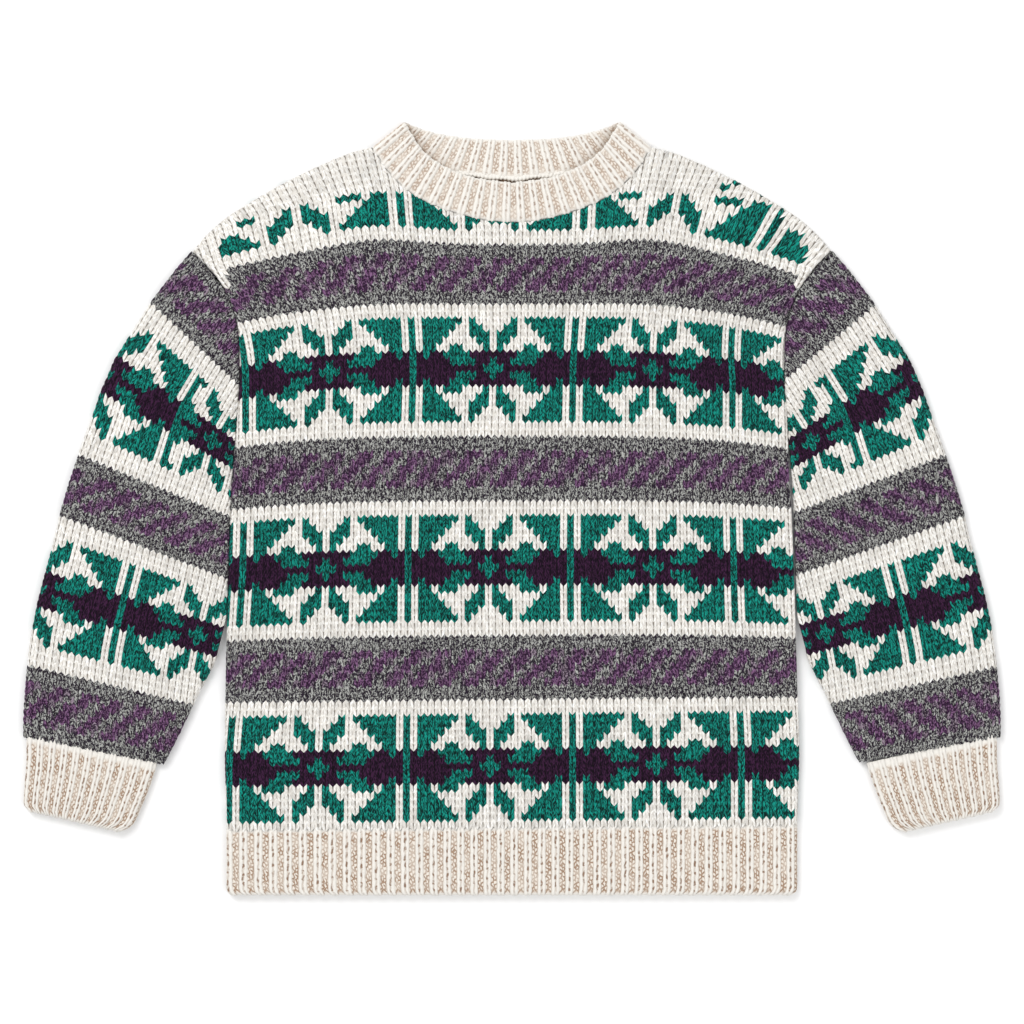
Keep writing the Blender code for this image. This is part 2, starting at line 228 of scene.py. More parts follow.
SLEEVE_FOLD = np.array([
    (270.0, 217.6), (283.9, 201.5), (303.4, 176.2), (319.4, 150.8), (335.5, 125.5), (346.5, 100.1),
    (355.3, 74.8), (364.6, 49.4), (373.1, 24.1), (380.7, -1.3), (386.6, -26.6), (393.3, -52.0),
    (400.1, -77.3), (405.2, -102.7), (408.7, -128.0), (411.1, -153.4), (412.4, -178.7), (412.4, -193.5),
])
UNDERARM_SEAM = np.array([
    (237.9, 7.0), (239.2, -31.0), (240.5, -69.0), (241.8, -109.0), (251.8, -131.0), (264.5, -155.5),
    (275.6, -178.7), (288.1, -204.1), (296.6, -219.7), (301.0, -228.0),
])
CUFF_LINES = [
    (409.9, -193.2, 301.0, -217.6), (409.9, -210.0, 306.5, -234.0), (411.5, -232.0, 314.0, -252.5),
    (412.4, -249.0, 322.5, -268.5), (407.0, -255.6, 332.0, -272.8),
]


@dataclass(frozen=True)
class Crease:
    """A soft ridge or trough in the cloth, along a line in plan."""

    x1: float
    y1: float
    x2: float
    y2: float
    width: float
    height: float


BODY_CREASES = (
    Crease(-226, 34, -104, 78, 20, 1.2), Crease(-232, -26, -136, -8, 24, 1.1),
    Crease(228, 22, 116, 58, 21, 1.2), Crease(232, -44, 128, -34, 24, 1.2),
    Crease(-150, -232, -172, -120, 26, 1.0), Crease(158, -240, 170, -140, 24, 1.1),
    Crease(-210, 8, -120, 34, 14, -0.8), Crease(214, -10, 128, 14, 15, -0.9),
    Crease(-60, -90, 40, -70, 34, 0.7), Crease(30, 60, 110, 96, 30, 0.7),
    Crease(-200, 150, -150, 214, 16, 0.7), Crease(196, 146, 152, 208, 18, 0.8),
)
SLEEVE_CREASES = (
    Crease(250, -40, 330, 8, 17, 1.3), Crease(254, -92, 346, -64, 18, 1.2),
    Crease(300, -170, 392, -150, 16, 1.0), Crease(282, 96, 316, 140, 15, 0.9),
    Crease(256, -64, 330, -30, 12, -0.9), Crease(262, 30, 338, 60, 15, 0.8),
)


def crease_rise(creases: Sequence[Crease], x: np.ndarray, y: np.ndarray) -> np.ndarray:
    """The height that the creases add at some places.

    Args:
        creases: the ridges and troughs of the piece.
        x: places across.
        y: places up the garment.

    Returns:
        The heights in millimetres.
    """
    total = np.zeros_like(x)
    for crease in creases:
        run_x, run_y = crease.x2 - crease.x1, crease.y2 - crease.y1
        share = ((x - crease.x1) * run_x + (y - crease.y1) * run_y) / (run_x**2 + run_y**2)
        off_x, off_y = x - crease.x1 - share * run_x, y - crease.y1 - share * run_y
        off = np.hypot(off_x, off_y) / crease.width
        total += crease.height * np.sin(np.pi * np.clip(share, 0, 1)) * np.exp(-off * off)
    return total


def rolled(walked: np.ndarray, radius: float) -> tuple[np.ndarray, np.ndarray]:
    """Carries a length of cloth over a rolled edge.

    Args:
        walked: the length of cloth from the middle of the edge, 0 at the edge itself.
        radius: the radius of the roll.

    Returns:
        How far in from the edge the cloth lies in plan, and its height as a share of the radius.
    """
    turned = np.clip(walked / radius, 0, math.pi / 2)
    beyond = np.maximum(walked - radius * math.pi / 2, 0)
    return radius * (1 - np.cos(turned)) + beyond, np.sin(turned)


def dropped(distance: np.ndarray, radius: float) -> np.ndarray:
    """The height of a rolled edge as a share of its radius, at a distance in from it in plan."""
    inward = 1 - np.clip(distance / radius, 0, 1)
    return np.sqrt(1 - inward * inward)


def roll_extra(radius: float) -> float:
    """How much longer the cloth over a rolled edge is than its plan."""
    return radius * (math.pi / 2 - 1)


def in_columns(values: np.ndarray, count: int) -> np.ndarray:
    """Repeats the values of the rows in each of some columns."""
    return np.repeat(values[:, None], count, axis=1)


def kept_faces(outside: np.ndarray) -> np.ndarray:
    """The faces of a grid that have a corner inside the cut."""
    return ~(outside[:-1, :-1] & outside[1:, :-1] & outside[:-1, 1:] & outside[1:, 1:])


class StarChart:
    """The star band of the colourwork, drawn from its green divider to the middle of its star."""

    HALF_REPEAT = 12
    LETTERS = {"W": Yarn.CREAM, "G": Yarn.GREEN, "P": Yarn.PLUM}
    ROWS = (
        "GWGGGGGGWGWWW",
        "GWGGGGGWWGGWW",
        "GWGGGGWWWGGGW",
        "GWGGGWWWWWGGW",
        "GWGGWWGGWWWGW",
        "GPGPPGGGGPPPP",
        "GPPPPPGGGGPPG",
        "GPPPPPPPPPPGG",
        "GPPPPPPGGGPPG",
        "GPGPPPGGGPPPP",
        "GWGGWGGGWWWGW",
        "GWGGGWWWWWGGW",
        "GWGGGGWWWGGGW",
        "GWGGGGGWWGGWW",
        "GWGGGGGGWGWWW",
    )

    def __init__(self) -> None:
        """Turns the drawn rows into yarns, from the bottom row up."""
        self.yarns = np.array([[self.LETTERS[mark] for mark in row] for row in reversed(self.ROWS)])

    def row(self, number: int, columns: np.ndarray, divider: int) -> np.ndarray:
        """The yarns of one row of the band.

        Args:
            number: the row, 0 at the bottom of the band.
            columns: the stitches, counted across the piece.
            divider: a stitch that is a green divider.

        Returns:
            A yarn for each stitch.
        """
        whole = 2 * self.HALF_REPEAT
        away = np.abs((columns - divider + self.HALF_REPEAT) % whole - self.HALF_REPEAT)
        return self.yarns[number][away]


@dataclass(frozen=True)
class BandPlan:
    """The bands of a piece from its lowest row up, as pairs of a band and its count of rows.

    Past its divider a band can take in some stitches of the chart, given as pairs of the band's place
    and their count. Stray green stitches are pairs of a row and a column. The reaches say how far the
    purple and the mauve at its edge run from the middle of a patch, in stitches.
    """

    bands: tuple[tuple[Band, int], ...]
    divider: int
    taken_in: tuple[tuple[int, int], ...] = ()
    stray: tuple[tuple[int, int], ...] = ()

    MARL_EDGE_ROWS = 2
    PATCH_REPEAT = 4
    PATCH_JITTER = 0.3
    PURPLE_REACH = 0.8
    MAUVE_REACH = 1.35

    @property
    def rows(self) -> int:
        """The rows of all the bands."""
        return sum(count for _, count in self.bands)

    def yarns(self, columns: np.ndarray, chance: np.random.Generator) -> np.ndarray:
        """Chooses the yarn of each leg.

        Args:
            columns: the legs' places, counted in stitches across the piece.
            chance: the seeded source of the uneven edges of the purple patches.

        Returns:
            An array of yarns, one row for each row of the piece.
        """
        chart = StarChart()
        whole = columns.astype(int)
        picked = []
        for place, (band, count) in enumerate(self.bands):
            shifted = whole + dict(self.taken_in).get(place, 0) * (whole > self.divider)
            for number in range(count):
                if band is Band.STAR:
                    picked.append(chart.row(number, shifted, self.divider))
                elif band is Band.MARL:
                    picked.append(self._marl_row(number, count, columns, chance))
                else:
                    picked.append(np.full(len(columns), Yarn.CREAM))
        for row, column in self.stray:
            picked[row][whole == column] = Yarn.GREEN
        return np.array(picked)

    def _marl_row(
        self, number: int, count: int, columns: np.ndarray, chance: np.random.Generator
    ) -> np.ndarray:
        """One row of a marl band: marl at its edges, and purple patches that lean to the right between.

        Args:
            number: the row, 0 at the bottom of the band.
            count: the rows of the band.
            columns: the legs' places, counted in stitches across the piece.
            chance: the seeded source of the patches' uneven edges.

        Returns:
            A yarn for each leg.
        """
        picked = np.full(len(columns), Yarn.MARL)
        if self.MARL_EDGE_ROWS <= number < count - self.MARL_EDGE_ROWS:
            jitter = chance.normal(0.0, self.PATCH_JITTER, len(columns))
            place = (columns - number + jitter) % self.PATCH_REPEAT
            from_middle = np.abs(place - self.PATCH_REPEAT / 2)
            picked[from_middle < self.MAUVE_REACH] = Yarn.MAUVE
            picked[from_middle < self.PURPLE_REACH] = Yarn.PURPLE
        return picked


BODY_BANDS = BandPlan(
    bands=(
        (Band.PLAIN, 1), (Band.STAR, 15), (Band.PLAIN, 2), (Band.MARL, 9), (Band.PLAIN, 2),
        (Band.STAR, 15), (Band.PLAIN, 2), (Band.MARL, 9), (Band.PLAIN, 2), (Band.STAR, 15),
        (Band.PLAIN, 2), (Band.MARL, 9), (Band.PLAIN, 2), (Band.STAR, 5), (Band.PLAIN, 7),
    ),
    divider=26,
    stray=(
        (86, 38), (86, 39), (91, 67), (92, 68), (93, 68), (91, 71), (92, 72), (91, 74), (90, 76),
        (91, 76), (90, 79), (89, 80),
    ),
)
SLEEVE_BANDS = BandPlan(
    bands=(
        (Band.MARL, 10), (Band.PLAIN, 3), (Band.STAR, 15), (Band.PLAIN, 3), (Band.MARL, 10),
        (Band.PLAIN, 3), (Band.STAR, 15), (Band.PLAIN, 3), (Band.MARL, 9),
    ),
    divider=11,
    taken_in=((6, 6),),
)


@dataclass
class Lattice:
    """The grid of a knitted piece: places in the cloth and what lies there, row by row.

    The arrays over vertices have a row for each step up the piece and a column for each step across it:
    the places in the cloth, the relief over it, the places counted in stitches and rows, and where they
    are given the trim of a rib and the painted shade that falls on it. Those over faces are one shorter
    each way: whether a face is kept, and its yarn's light and dark colours (a painted highlight and a
    painted shade on a plain yarn, real strands on a flecked yarn), fleck and twist.
    """

    base: np.ndarray
    relief: np.ndarray
    stitch: np.ndarray
    kept: np.ndarray
    light: np.ndarray | None = None
    dark: np.ndarray | None = None
    fleck: np.ndarray | None = None
    twist: np.ndarray | None = None
    trim: np.ndarray | None = None
    shade: np.ndarray | None = None

    def surface(self) -> np.ndarray:
        """Raises the vertices from the cloth by their relief, along its normals.

        Returns:
            The places of the vertices, none below the surface that the sweater lies on.
        """
        across = np.gradient(self.base, axis=1)
        up = np.gradient(self.base, axis=0)
        normal = np.cross(across, up)
        size = np.linalg.norm(normal, axis=2, keepdims=True)
        normal = np.where(size > NEARLY_ZERO, normal / np.maximum(size, NEARLY_ZERO), 0.0)
        place = self.base + normal * self.relief[..., None]
        place[..., 2] = np.maximum(place[..., 2], 0.0)
        return place

    def flat_area(self) -> float:
        """Measures the cloth before its stitches stand up.

        Returns:
            The area in square metres.
        """
        across = np.diff(self.base, axis=1)[:-1]
        up = np.diff(self.base, axis=0)[:, :-1]
        cells = np.linalg.norm(np.cross(across, up), axis=2)
        return float((cells * self.kept).sum()) * MM * MM

    def build(self, name: str, material: bpy.types.Material, weld: bool) -> bpy.types.Object:
        """Makes the piece's mesh from a grid.

        Args:
            name: the object's name.
            material: its finish.
            weld: whether edges that lie on each other are joined.

        Returns:
            The finished object, at the origin.
        """
        rows, columns = self.relief.shape
        bm = bmesh.new()
        bmesh.ops.create_grid(bm, x_segments=columns - 1, y_segments=rows - 1, size=0.5)
        mesh = bpy.data.meshes.new(name)
        bm.to_mesh(mesh)
        bm.free()
        flat = np.zeros(len(mesh.vertices) * 3)
        mesh.vertices.foreach_get("co", flat)
        flat = flat.reshape(-1, 3)
        i = np.rint((flat[:, 0] + 0.5) * (columns - 1)).astype(int)
        j = np.rint((flat[:, 1] + 0.5) * (rows - 1)).astype(int)
        mesh.vertices.foreach_set("co", (self.surface()[j, i] * MM).ravel())
        corners = np.zeros(len(mesh.loops), int)
        mesh.loops.foreach_get("vertex_index", corners)
        whole_piece = np.stack([i / (columns - 1), j / (rows - 1)], axis=1)
        self._write_uv(mesh, BAKE_UV, whole_piece[corners])
        self._write_uv(mesh, STITCH_UV, self.stitch[j, i][corners])
        around = corners.reshape(-1, 4)
        face_i, face_j = i[around].min(axis=1), j[around].min(axis=1)
        if self.light is not None:
            self._write_yarn(mesh, face_i, face_j)
        for wear, values in (("trim", self.trim), ("shade", self.shade)):
            if values is not None:
                attribute = mesh.attributes.new(wear, "FLOAT", "POINT")
                attribute.data.foreach_set("value", values[j, i].astype(np.float32))
        self._drop_faces(mesh, ~self.kept[face_j, face_i], weld)
        mesh.shade_smooth()
        mesh.materials.append(material)
        piece = bpy.data.objects.new(name, mesh)
        bpy.context.scene.collection.objects.link(piece)
        return piece

    @staticmethod
    def _write_uv(mesh: bpy.types.Mesh, name: str, places: np.ndarray) -> None:
        """Adds a UV map with a place for each face corner."""
        layer = mesh.uv_layers.new(name=name)
        layer.data.foreach_set("uv", places.ravel().astype(np.float32))

    def _write_yarn(self, mesh: bpy.types.Mesh, face_i: np.ndarray, face_j: np.ndarray) -> None:
        """Adds each face's yarn as attributes: its light and dark colours, which are a painted highlight
        and a painted shade on plain yarns and real strands on flecked yarns, its fleck and its twist.

        Args:
            mesh: the piece's mesh.
            face_i: each face's step across the grid.
            face_j: each face's step up it.
        """
        for name, values in (("light", self.light), ("dark", self.dark)):
            colour = mesh.attributes.new(name, "FLOAT_COLOR", "FACE")
            colour.data.foreach_set("color", values[face_j, face_i].ravel())
        for name, values in (("fleck", self.fleck), ("twist", self.twist)):
            attribute = mesh.attributes.new(name, "FLOAT", "FACE")
            attribute.data.foreach_set("value", values[face_j, face_i])

    @staticmethod
    def _drop_faces(mesh: bpy.types.Mesh, dropped_faces: np.ndarray, weld: bool) -> None:
        """Deletes the faces outside the cut, and joins the edges that meet.

        Args:
            mesh: the piece's mesh.
            dropped_faces: whether each face lies outside the cut.
            weld: whether edges that lie on each other are joined.
        """
        bm = bmesh.new()
        bm.from_mesh(mesh)
        bm.faces.ensure_lookup_table()
        gone = [bm.faces[k] for k in np.flatnonzero(dropped_faces)]
        bmesh.ops.delete(bm, geom=gone, context="FACES")
        if weld:
            open_verts = [v for v in bm.verts if v.is_boundary]
            bmesh.ops.remove_doubles(bm, verts=open_verts, dist=0.02 * MM)
        bm.to_mesh(mesh)
        bm.free()


@dataclass
class Stockinette:
    """The smooth side of knitting: each stitch a V of two raised legs.

    The levels are the heights of the grid's steps across a stitch and up a row, as shares of a leg's
    height, and the leans shift the legs' tops towards the middle of their stitch.
    """

    columns: int
    rows: int
    steps_across: int = 4
    steps_up: int = 3
    v_depth: float = 0.52
    leg_levels: tuple[float, ...] = (0.32, 1.0, 0.0, 1.0)
    row_levels: tuple[float, ...] = (0.60, 1.0, 0.90)
    leg_lean: tuple[float, ...] = (0.0, 0.07, -0.05)
    unevenness: float = 0.07

    def __post_init__(self) -> None:
        """Numbers the steps of the grid and places them in stitches."""
        step = np.arange(self.columns * self.steps_across + 1)
        rise = np.arange(self.rows * self.steps_up + 1)
        self.across, self.up = np.meshgrid(step / self.steps_across, rise / self.steps_up)
        self.leg_step, self.row_step = np.meshgrid(step % self.steps_across, rise % self.steps_up)
        self.chance = np.random.default_rng(SEED)
        lean = np.array(self.leg_lean)[self.row_step]
        towards_middle = np.select([self.leg_step == 1, self.leg_step == 3], [1.0, -1.0], 0.0)
        self.leant = self.across + lean * towards_middle
        fraction = self.across % 1.0
        self.height = self.up + self.v_depth * (np.abs(2 * fraction - 1) - 0.5)

    def relief(self) -> np.ndarray:
        """Raises the legs, a little unevenly from stitch to stitch.

        Returns:
            The height of each vertex over the cloth.
        """
        level = np.array(self.leg_levels)[self.leg_step] * np.array(self.row_levels)[self.row_step]
        uneven = self.chance.normal(1.0, self.unevenness, level.shape)
        return LEG_HEIGHT * level * uneven

    def stitch_places(self) -> np.ndarray:
        """The place of each vertex counted in stitches and rows."""
        return np.stack([self.across, self.up], axis=-1)

    def dye(self, lattice: Lattice, yarns: np.ndarray) -> None:
        """Gives each face the light and dark colours of its leg's yarn, slightly uneven: a painted
        highlight and a painted shade on plain yarns, the real strands on flecked yarns.

        Args:
            lattice: the piece's grid, which takes the colours.
            yarns: the yarn of each leg.
        """
        shade = self.chance.normal(1.0, self.unevenness, yarns.shape)[..., None]
        uneven = np.concatenate([np.repeat(shade, 3, axis=2), np.ones_like(shade)], axis=2)
        lights = np.array([YARNS[yarn].light for yarn in Yarn])[yarns] * uneven
        darks = np.array([YARNS[yarn].dark for yarn in Yarn])[yarns] * uneven
        lattice.light = np.clip(self._spread(lights), 0.0, 1.0)
        lattice.dark = np.clip(self._spread(darks), 0.0, 1.0)
        lattice.fleck = self._spread(np.array([YARNS[yarn].fleck for yarn in Yarn])[yarns])
        lattice.twist = self._spread(self.chance.random(yarns.shape))

    def leg_places(self) -> np.ndarray:
        """The places of the legs, counted in stitches across the piece."""
        return (np.arange(2 * self.columns) + 0.5) / 2

    def at_legs(self, values: np.ndarray) -> np.ndarray:
        """The values of the vertices in the middle of each leg."""
        return values[1::self.steps_up, 1::self.steps_across // 2]

    def _spread(self, values: np.ndarray) -> np.ndarray:
        """Repeats the values of the legs on every face of each."""
        return np.repeat(np.repeat(values, self.steps_up, axis=0), self.steps_across // 2, axis=1)


@dataclass
class Ribbing:
    """1x1 rib: a raised knit column, then a sunken purl column with a bump on each row.

    The turns are the places of the grid's steps across one rib and the levels are their heights. Below
    row 0 the lip's steps turn in, so that the cast-on edge has a thickness.
    """

    ribs: int
    rows: int
    lip_rows: int = 3
    lip_depth: float = 7.0
    steps_up: int = 3
    turns: tuple[float, ...] = (0.0, 0.06, 0.17, 0.30, 0.43, 0.54, 0.60, 0.70, 0.80, 0.90)
    levels: tuple[float, ...] = (0.06, 0.72, 1.0, 0.62, 1.0, 0.72, 0.06, 0.12, 0.16, 0.12)
    knit_middle: int = 3
    purl_start: int = 7
    dash: tuple[float, ...] = (-0.16, 0.14, 0.1)
    purl_bump: tuple[float, ...] = (0.0, 0.34, 0.26)
    unevenness: float = 0.06
    trim_rows: float = 0.67

    def __post_init__(self) -> None:
        """Places the steps of the grid in ribs and rows, with the lip's steps below row 0."""
        count = len(self.turns)
        step = np.arange(self.ribs * count + 1)
        places = step // count + np.array(self.turns)[step % count]
        rise = np.arange(-self.lip_rows, self.rows * self.steps_up + 1)
        self.across, self.step_up = np.meshgrid(places, rise)
        self.turn, _ = np.meshgrid(step % count, rise)
        self.up = np.maximum(self.step_up, 0) / self.steps_up
        self.lip = np.clip(-self.step_up, 0, self.lip_rows)
        self.chance = np.random.default_rng(SEED + 1)

    def relief(self) -> np.ndarray:
        """Raises the columns and the bumps, fading out on the lip.

        Returns:
            The height of each vertex over the cloth.
        """
        level = np.array(self.levels)[self.turn]
        row_step = self.step_up % self.steps_up
        level = level + np.where(self.turn == self.knit_middle, np.array(self.dash)[row_step], 0.0)
        level = level + np.where(self.turn >= self.purl_start, np.array(self.purl_bump)[row_step], 0.0)
        level = level * self.chance.normal(1.0, self.unevenness, level.shape)
        return RIB_HEIGHT * level * np.select([self.lip == 0, self.lip == 1], [1.0, 0.45], 0.0)

    def stitch_places(self) -> np.ndarray:
        """The place of each vertex counted in ribs and rows."""
        return np.stack([self.across, self.step_up / self.steps_up], axis=-1)

    def trim(self) -> np.ndarray:
        """Says how far each vertex belongs to a plain edge.

        Returns:
            1 at the cast-on edge and at the sewn one, and 0 between them.
        """
        rows_up = self.step_up / self.steps_up
        cast_on = 1 - rows_up / self.trim_rows
        sewn = (rows_up - self.rows + 1.0) / self.trim_rows
        return np.clip(np.maximum(cast_on, sewn), 0, 1)

    def hidden(self) -> np.ndarray:
        """How far each vertex lies under the piece that the rib is sewn to, 0 to 1."""
        return np.clip((self.up - self.rows) / self.trim_rows + 1, 0, 1)

    def turned_in(self, first: float) -> np.ndarray:
        """How far each step of the lip has turned in to the middle of the cloth, and 0 above the lip."""
        return np.select([self.lip == 0, self.lip == 1, self.lip == 2], [0.0, first, 1.0], 1.0)

    def reach_in(self, bulge: float) -> np.ndarray:
        """How far the lip reaches up inside the rib, under 0 where it bulges out below it."""
        return self.lip_depth * (self.lip == self.lip_rows) - bulge * (self.lip == 1)

    def piece(
        self, name: str, material: bpy.types.Material, base: np.ndarray, lift: np.ndarray, weld: bool
    ) -> bpy.types.Object:
        """Makes the ribbed piece.

        Args:
            name: the piece's name.
            material: its finish.
            base: the places of its vertices without the relief, in millimetres.
            lift: how squarely each faces up or down, 0 on a rolled edge.
            weld: whether the two sides of the grid are joined.

        Returns:
            The piece.
        """
        relief = self.relief() * np.clip(0.3 + lift, 0, 1)
        kept = np.ones((self.up.shape[0] - 1, self.up.shape[1] - 1), bool)
        lattice = Lattice(base, relief, self.stitch_places(), kept, trim=self.trim())
        return lattice.build(name, material, weld=weld)


class Flow:
    """A shader value that can be worked with in Python expressions."""

    def __init__(self, sheet: "NodeSheet", socket: bpy.types.NodeSocket) -> None:
        """Wraps a socket of a node."""
        self.sheet = sheet
        self.socket = socket

    def _maths(self, operation: str, *values: "Flow | float", clamp: bool = False) -> "Flow":
        """Adds a Math node of an operation on some values."""
        inputs = dict(enumerate(values))
        return self.sheet.make("ShaderNodeMath", inputs, operation=operation, use_clamp=clamp)

    def __add__(self, other: "Flow | float") -> "Flow":
        """Adds a value."""
        return self._maths("ADD", self, other)

    def __radd__(self, other: float) -> "Flow":
        """Adds to a number."""
        return self._maths("ADD", other, self)

    def __sub__(self, other: "Flow | float") -> "Flow":
        """Takes a value away."""
        return self._maths("SUBTRACT", self, other)

    def __rsub__(self, other: float) -> "Flow":
        """Takes this away from a number."""
        return self._maths("SUBTRACT", other, self)

    def __mul__(self, other: "Flow | float") -> "Flow":
        """Multiplies by a value."""
        return self._maths("MULTIPLY", self, other)

    def __rmul__(self, other: float) -> "Flow":
        """Multiplies a number."""
        return self._maths("MULTIPLY", other, self)

    def __truediv__(self, other: "Flow | float") -> "Flow":
        """Divides by a value."""
        return self._maths("DIVIDE", self, other)

    def fraction(self) -> "Flow":
        """The part after the whole number."""
        return self._maths("FRACT", self)

    def size(self) -> "Flow":
        """The value without its sign."""
        return self._maths("ABSOLUTE", self)

    def root(self) -> "Flow":
        """The square root of the value, 0 below 0."""
        return self._maths("SQRT", self._maths("MAXIMUM", self, 0.0))

    def eased(self, low: float, high: float) -> "Flow":
        """0 below low and 1 above high, with a smooth rise between."""
        inputs = {0: self, 1: low, 2: high, 3: 0.0, 4: 1.0}
        return self.sheet.make("ShaderNodeMapRange", inputs, interpolation_type="SMOOTHSTEP")


class NodeSheet:
    """The nodes of one material."""

    MIX_SHARE = 0
    MIX_LOW = 6
    MIX_HIGH = 7
    MIX_RESULT = 2

    def __init__(self, name: str) -> None:
        """Starts a material with its shader.

        Args:
            name: the material's name.
        """
        self.material = bpy.data.materials.new(name)
        self.material.use_nodes = True
        self.tree = self.material.node_tree
        self.shader = self.tree.nodes["Principled BSDF"]

    def make(
        self, kind: str, inputs: dict[int | str, object], output: int | str = 0, **settings: object
    ) -> Flow:
        """Adds a node.

        Args:
            kind: the node's type.
            inputs: values or links, by socket number or name.
            output: the socket to return.
            settings: the node's own settings, set first.

        Returns:
            The output as a value to work with.
        """
        node = self.tree.nodes.new(kind)
        for name, value in settings.items():
            setattr(node, name, value)
        for key, value in inputs.items():
            self._feed(node.inputs[key], value)
        return Flow(self, node.outputs[output])

    def _feed(self, socket: bpy.types.NodeSocket, value: object) -> None:
        """Links a socket to a value's socket, or sets it.

        Args:
            socket: the socket to feed.
            value: a value to link, or a number or colour to set.
        """
        if isinstance(value, Flow):
            self.tree.links.new(value.socket, socket)
        else:
            socket.default_value = value

    def mixed(self, share: Flow | float, low: object, high: object, blend: str = "MIX") -> Flow:
        """Mixes two colours.

        Args:
            share: how much of the second colour there is.
            low: the first colour.
            high: the second colour.
            blend: how they mix.

        Returns:
            The colour.
        """
        inputs = {self.MIX_SHARE: share, self.MIX_LOW: low, self.MIX_HIGH: high}
        settings = {"data_type": "RGBA", "blend_type": blend}
        return self.make("ShaderNodeMix", inputs, self.MIX_RESULT, **settings)

    def multiplied(self, colour: Flow, tint: Flow) -> Flow:
        """A colour multiplied by another."""
        return self.mixed(1.0, colour, tint, blend="MULTIPLY")

    def attribute(self, name: str, output: str = "Fac") -> Flow:
        """A value that the piece carries."""
        return self.make("ShaderNodeAttribute", {}, output, attribute_name=name)

    def joined(self, across: Flow, up: Flow, deep: Flow | float = 0.0) -> Flow:
        """Three values as one place."""
        return self.make("ShaderNodeCombineXYZ", {0: across, 1: up, 2: deep})

    def grey(self, value: Flow) -> Flow:
        """A value as a grey colour."""
        return self.make("ShaderNodeCombineColor", {0: value, 1: value, 2: value})

    def noise(
        self, scale: float, detail: float = 2.0, where: Flow | None = None, curl: float = 0.0
    ) -> Flow:
        """Noise of so many lumps to a metre.

        Args:
            scale: the lumps to a metre, or to one of the place's own units.
            detail: how fine its smaller lumps are.
            where: the place to read it at, or none for the place in space.
            curl: how far its lumps are swirled.

        Returns:
            The noise, mostly between 0.3 and 0.7.
        """
        if where is None:
            where = self.make("ShaderNodeTexCoord", {}, "Object")
        inputs = {"Vector": where, "Scale": scale, "Detail": detail, "Distortion": curl}
        return self.make("ShaderNodeTexNoise", inputs, "Fac")

    def cells(self, across: Flow, up: Flow, uneven: float) -> Flow:
        """Measures how far a place is from the net between cells one unit wide.

        Args:
            across: the place across the cells.
            up: the place up them.
            uneven: how irregular they are, from 0 to 1.

        Returns:
            0 on the net to about 0.5 inside a cell.
        """
        inputs = {"Vector": self.joined(across, up), "Scale": 1.0, "Randomness": uneven}
        settings = {"feature": "DISTANCE_TO_EDGE", "voronoi_dimensions": "2D"}
        return self.make("ShaderNodeTexVoronoi", inputs, "Distance", **settings)

    def stitch_place(self) -> tuple[Flow, Flow]:
        """Reads the place in the knitting.

        Returns:
            The stitches across and the rows up.
        """
        where = self.make("ShaderNodeUVMap", {}, uv_map=STITCH_UV)
        across = self.make("ShaderNodeSeparateXYZ", {0: where}, 0)
        up = self.make("ShaderNodeSeparateXYZ", {0: where}, 1)
        return across, up

    def finish(self, colour: Flow, height: Flow, distance: float, strength: float) -> bpy.types.Material:
        """Feeds the shader its colour and bump.

        Args:
            colour: the base colour.
            height: the bump's height, from 0 to 1.
            distance: the bump's depth in metres.
            strength: how strongly it shows.

        Returns:
            The material.
        """
        inputs = {"Height": height, "Distance": distance, "Strength": strength}
        self._feed(self.shader.inputs["Base Color"], colour)
        self._feed(self.shader.inputs["Normal"], self.make("ShaderNodeBump", inputs))
        return self.material


@dataclass(frozen=True)
class WoolFinish:
    """How a woollen yarn takes the light."""

    roughness: float = 0.95
    sheen: float = 0.08
    sheen_roughness: float = 0.5
    specular: float = 0.18

    def apply(self, sheet: NodeSheet) -> None:
        """Sets the shader's fixed values.

        Args:
            sheet: the material's nodes.
        """
        values = {
            "Roughness": self.roughness, "Sheen Weight": self.sheen,
            "Sheen Roughness": self.sheen_roughness, "Specular IOR Level": self.specular,
        }
        for name, value in values.items():
            sheet.shader.inputs[name].default_value = value


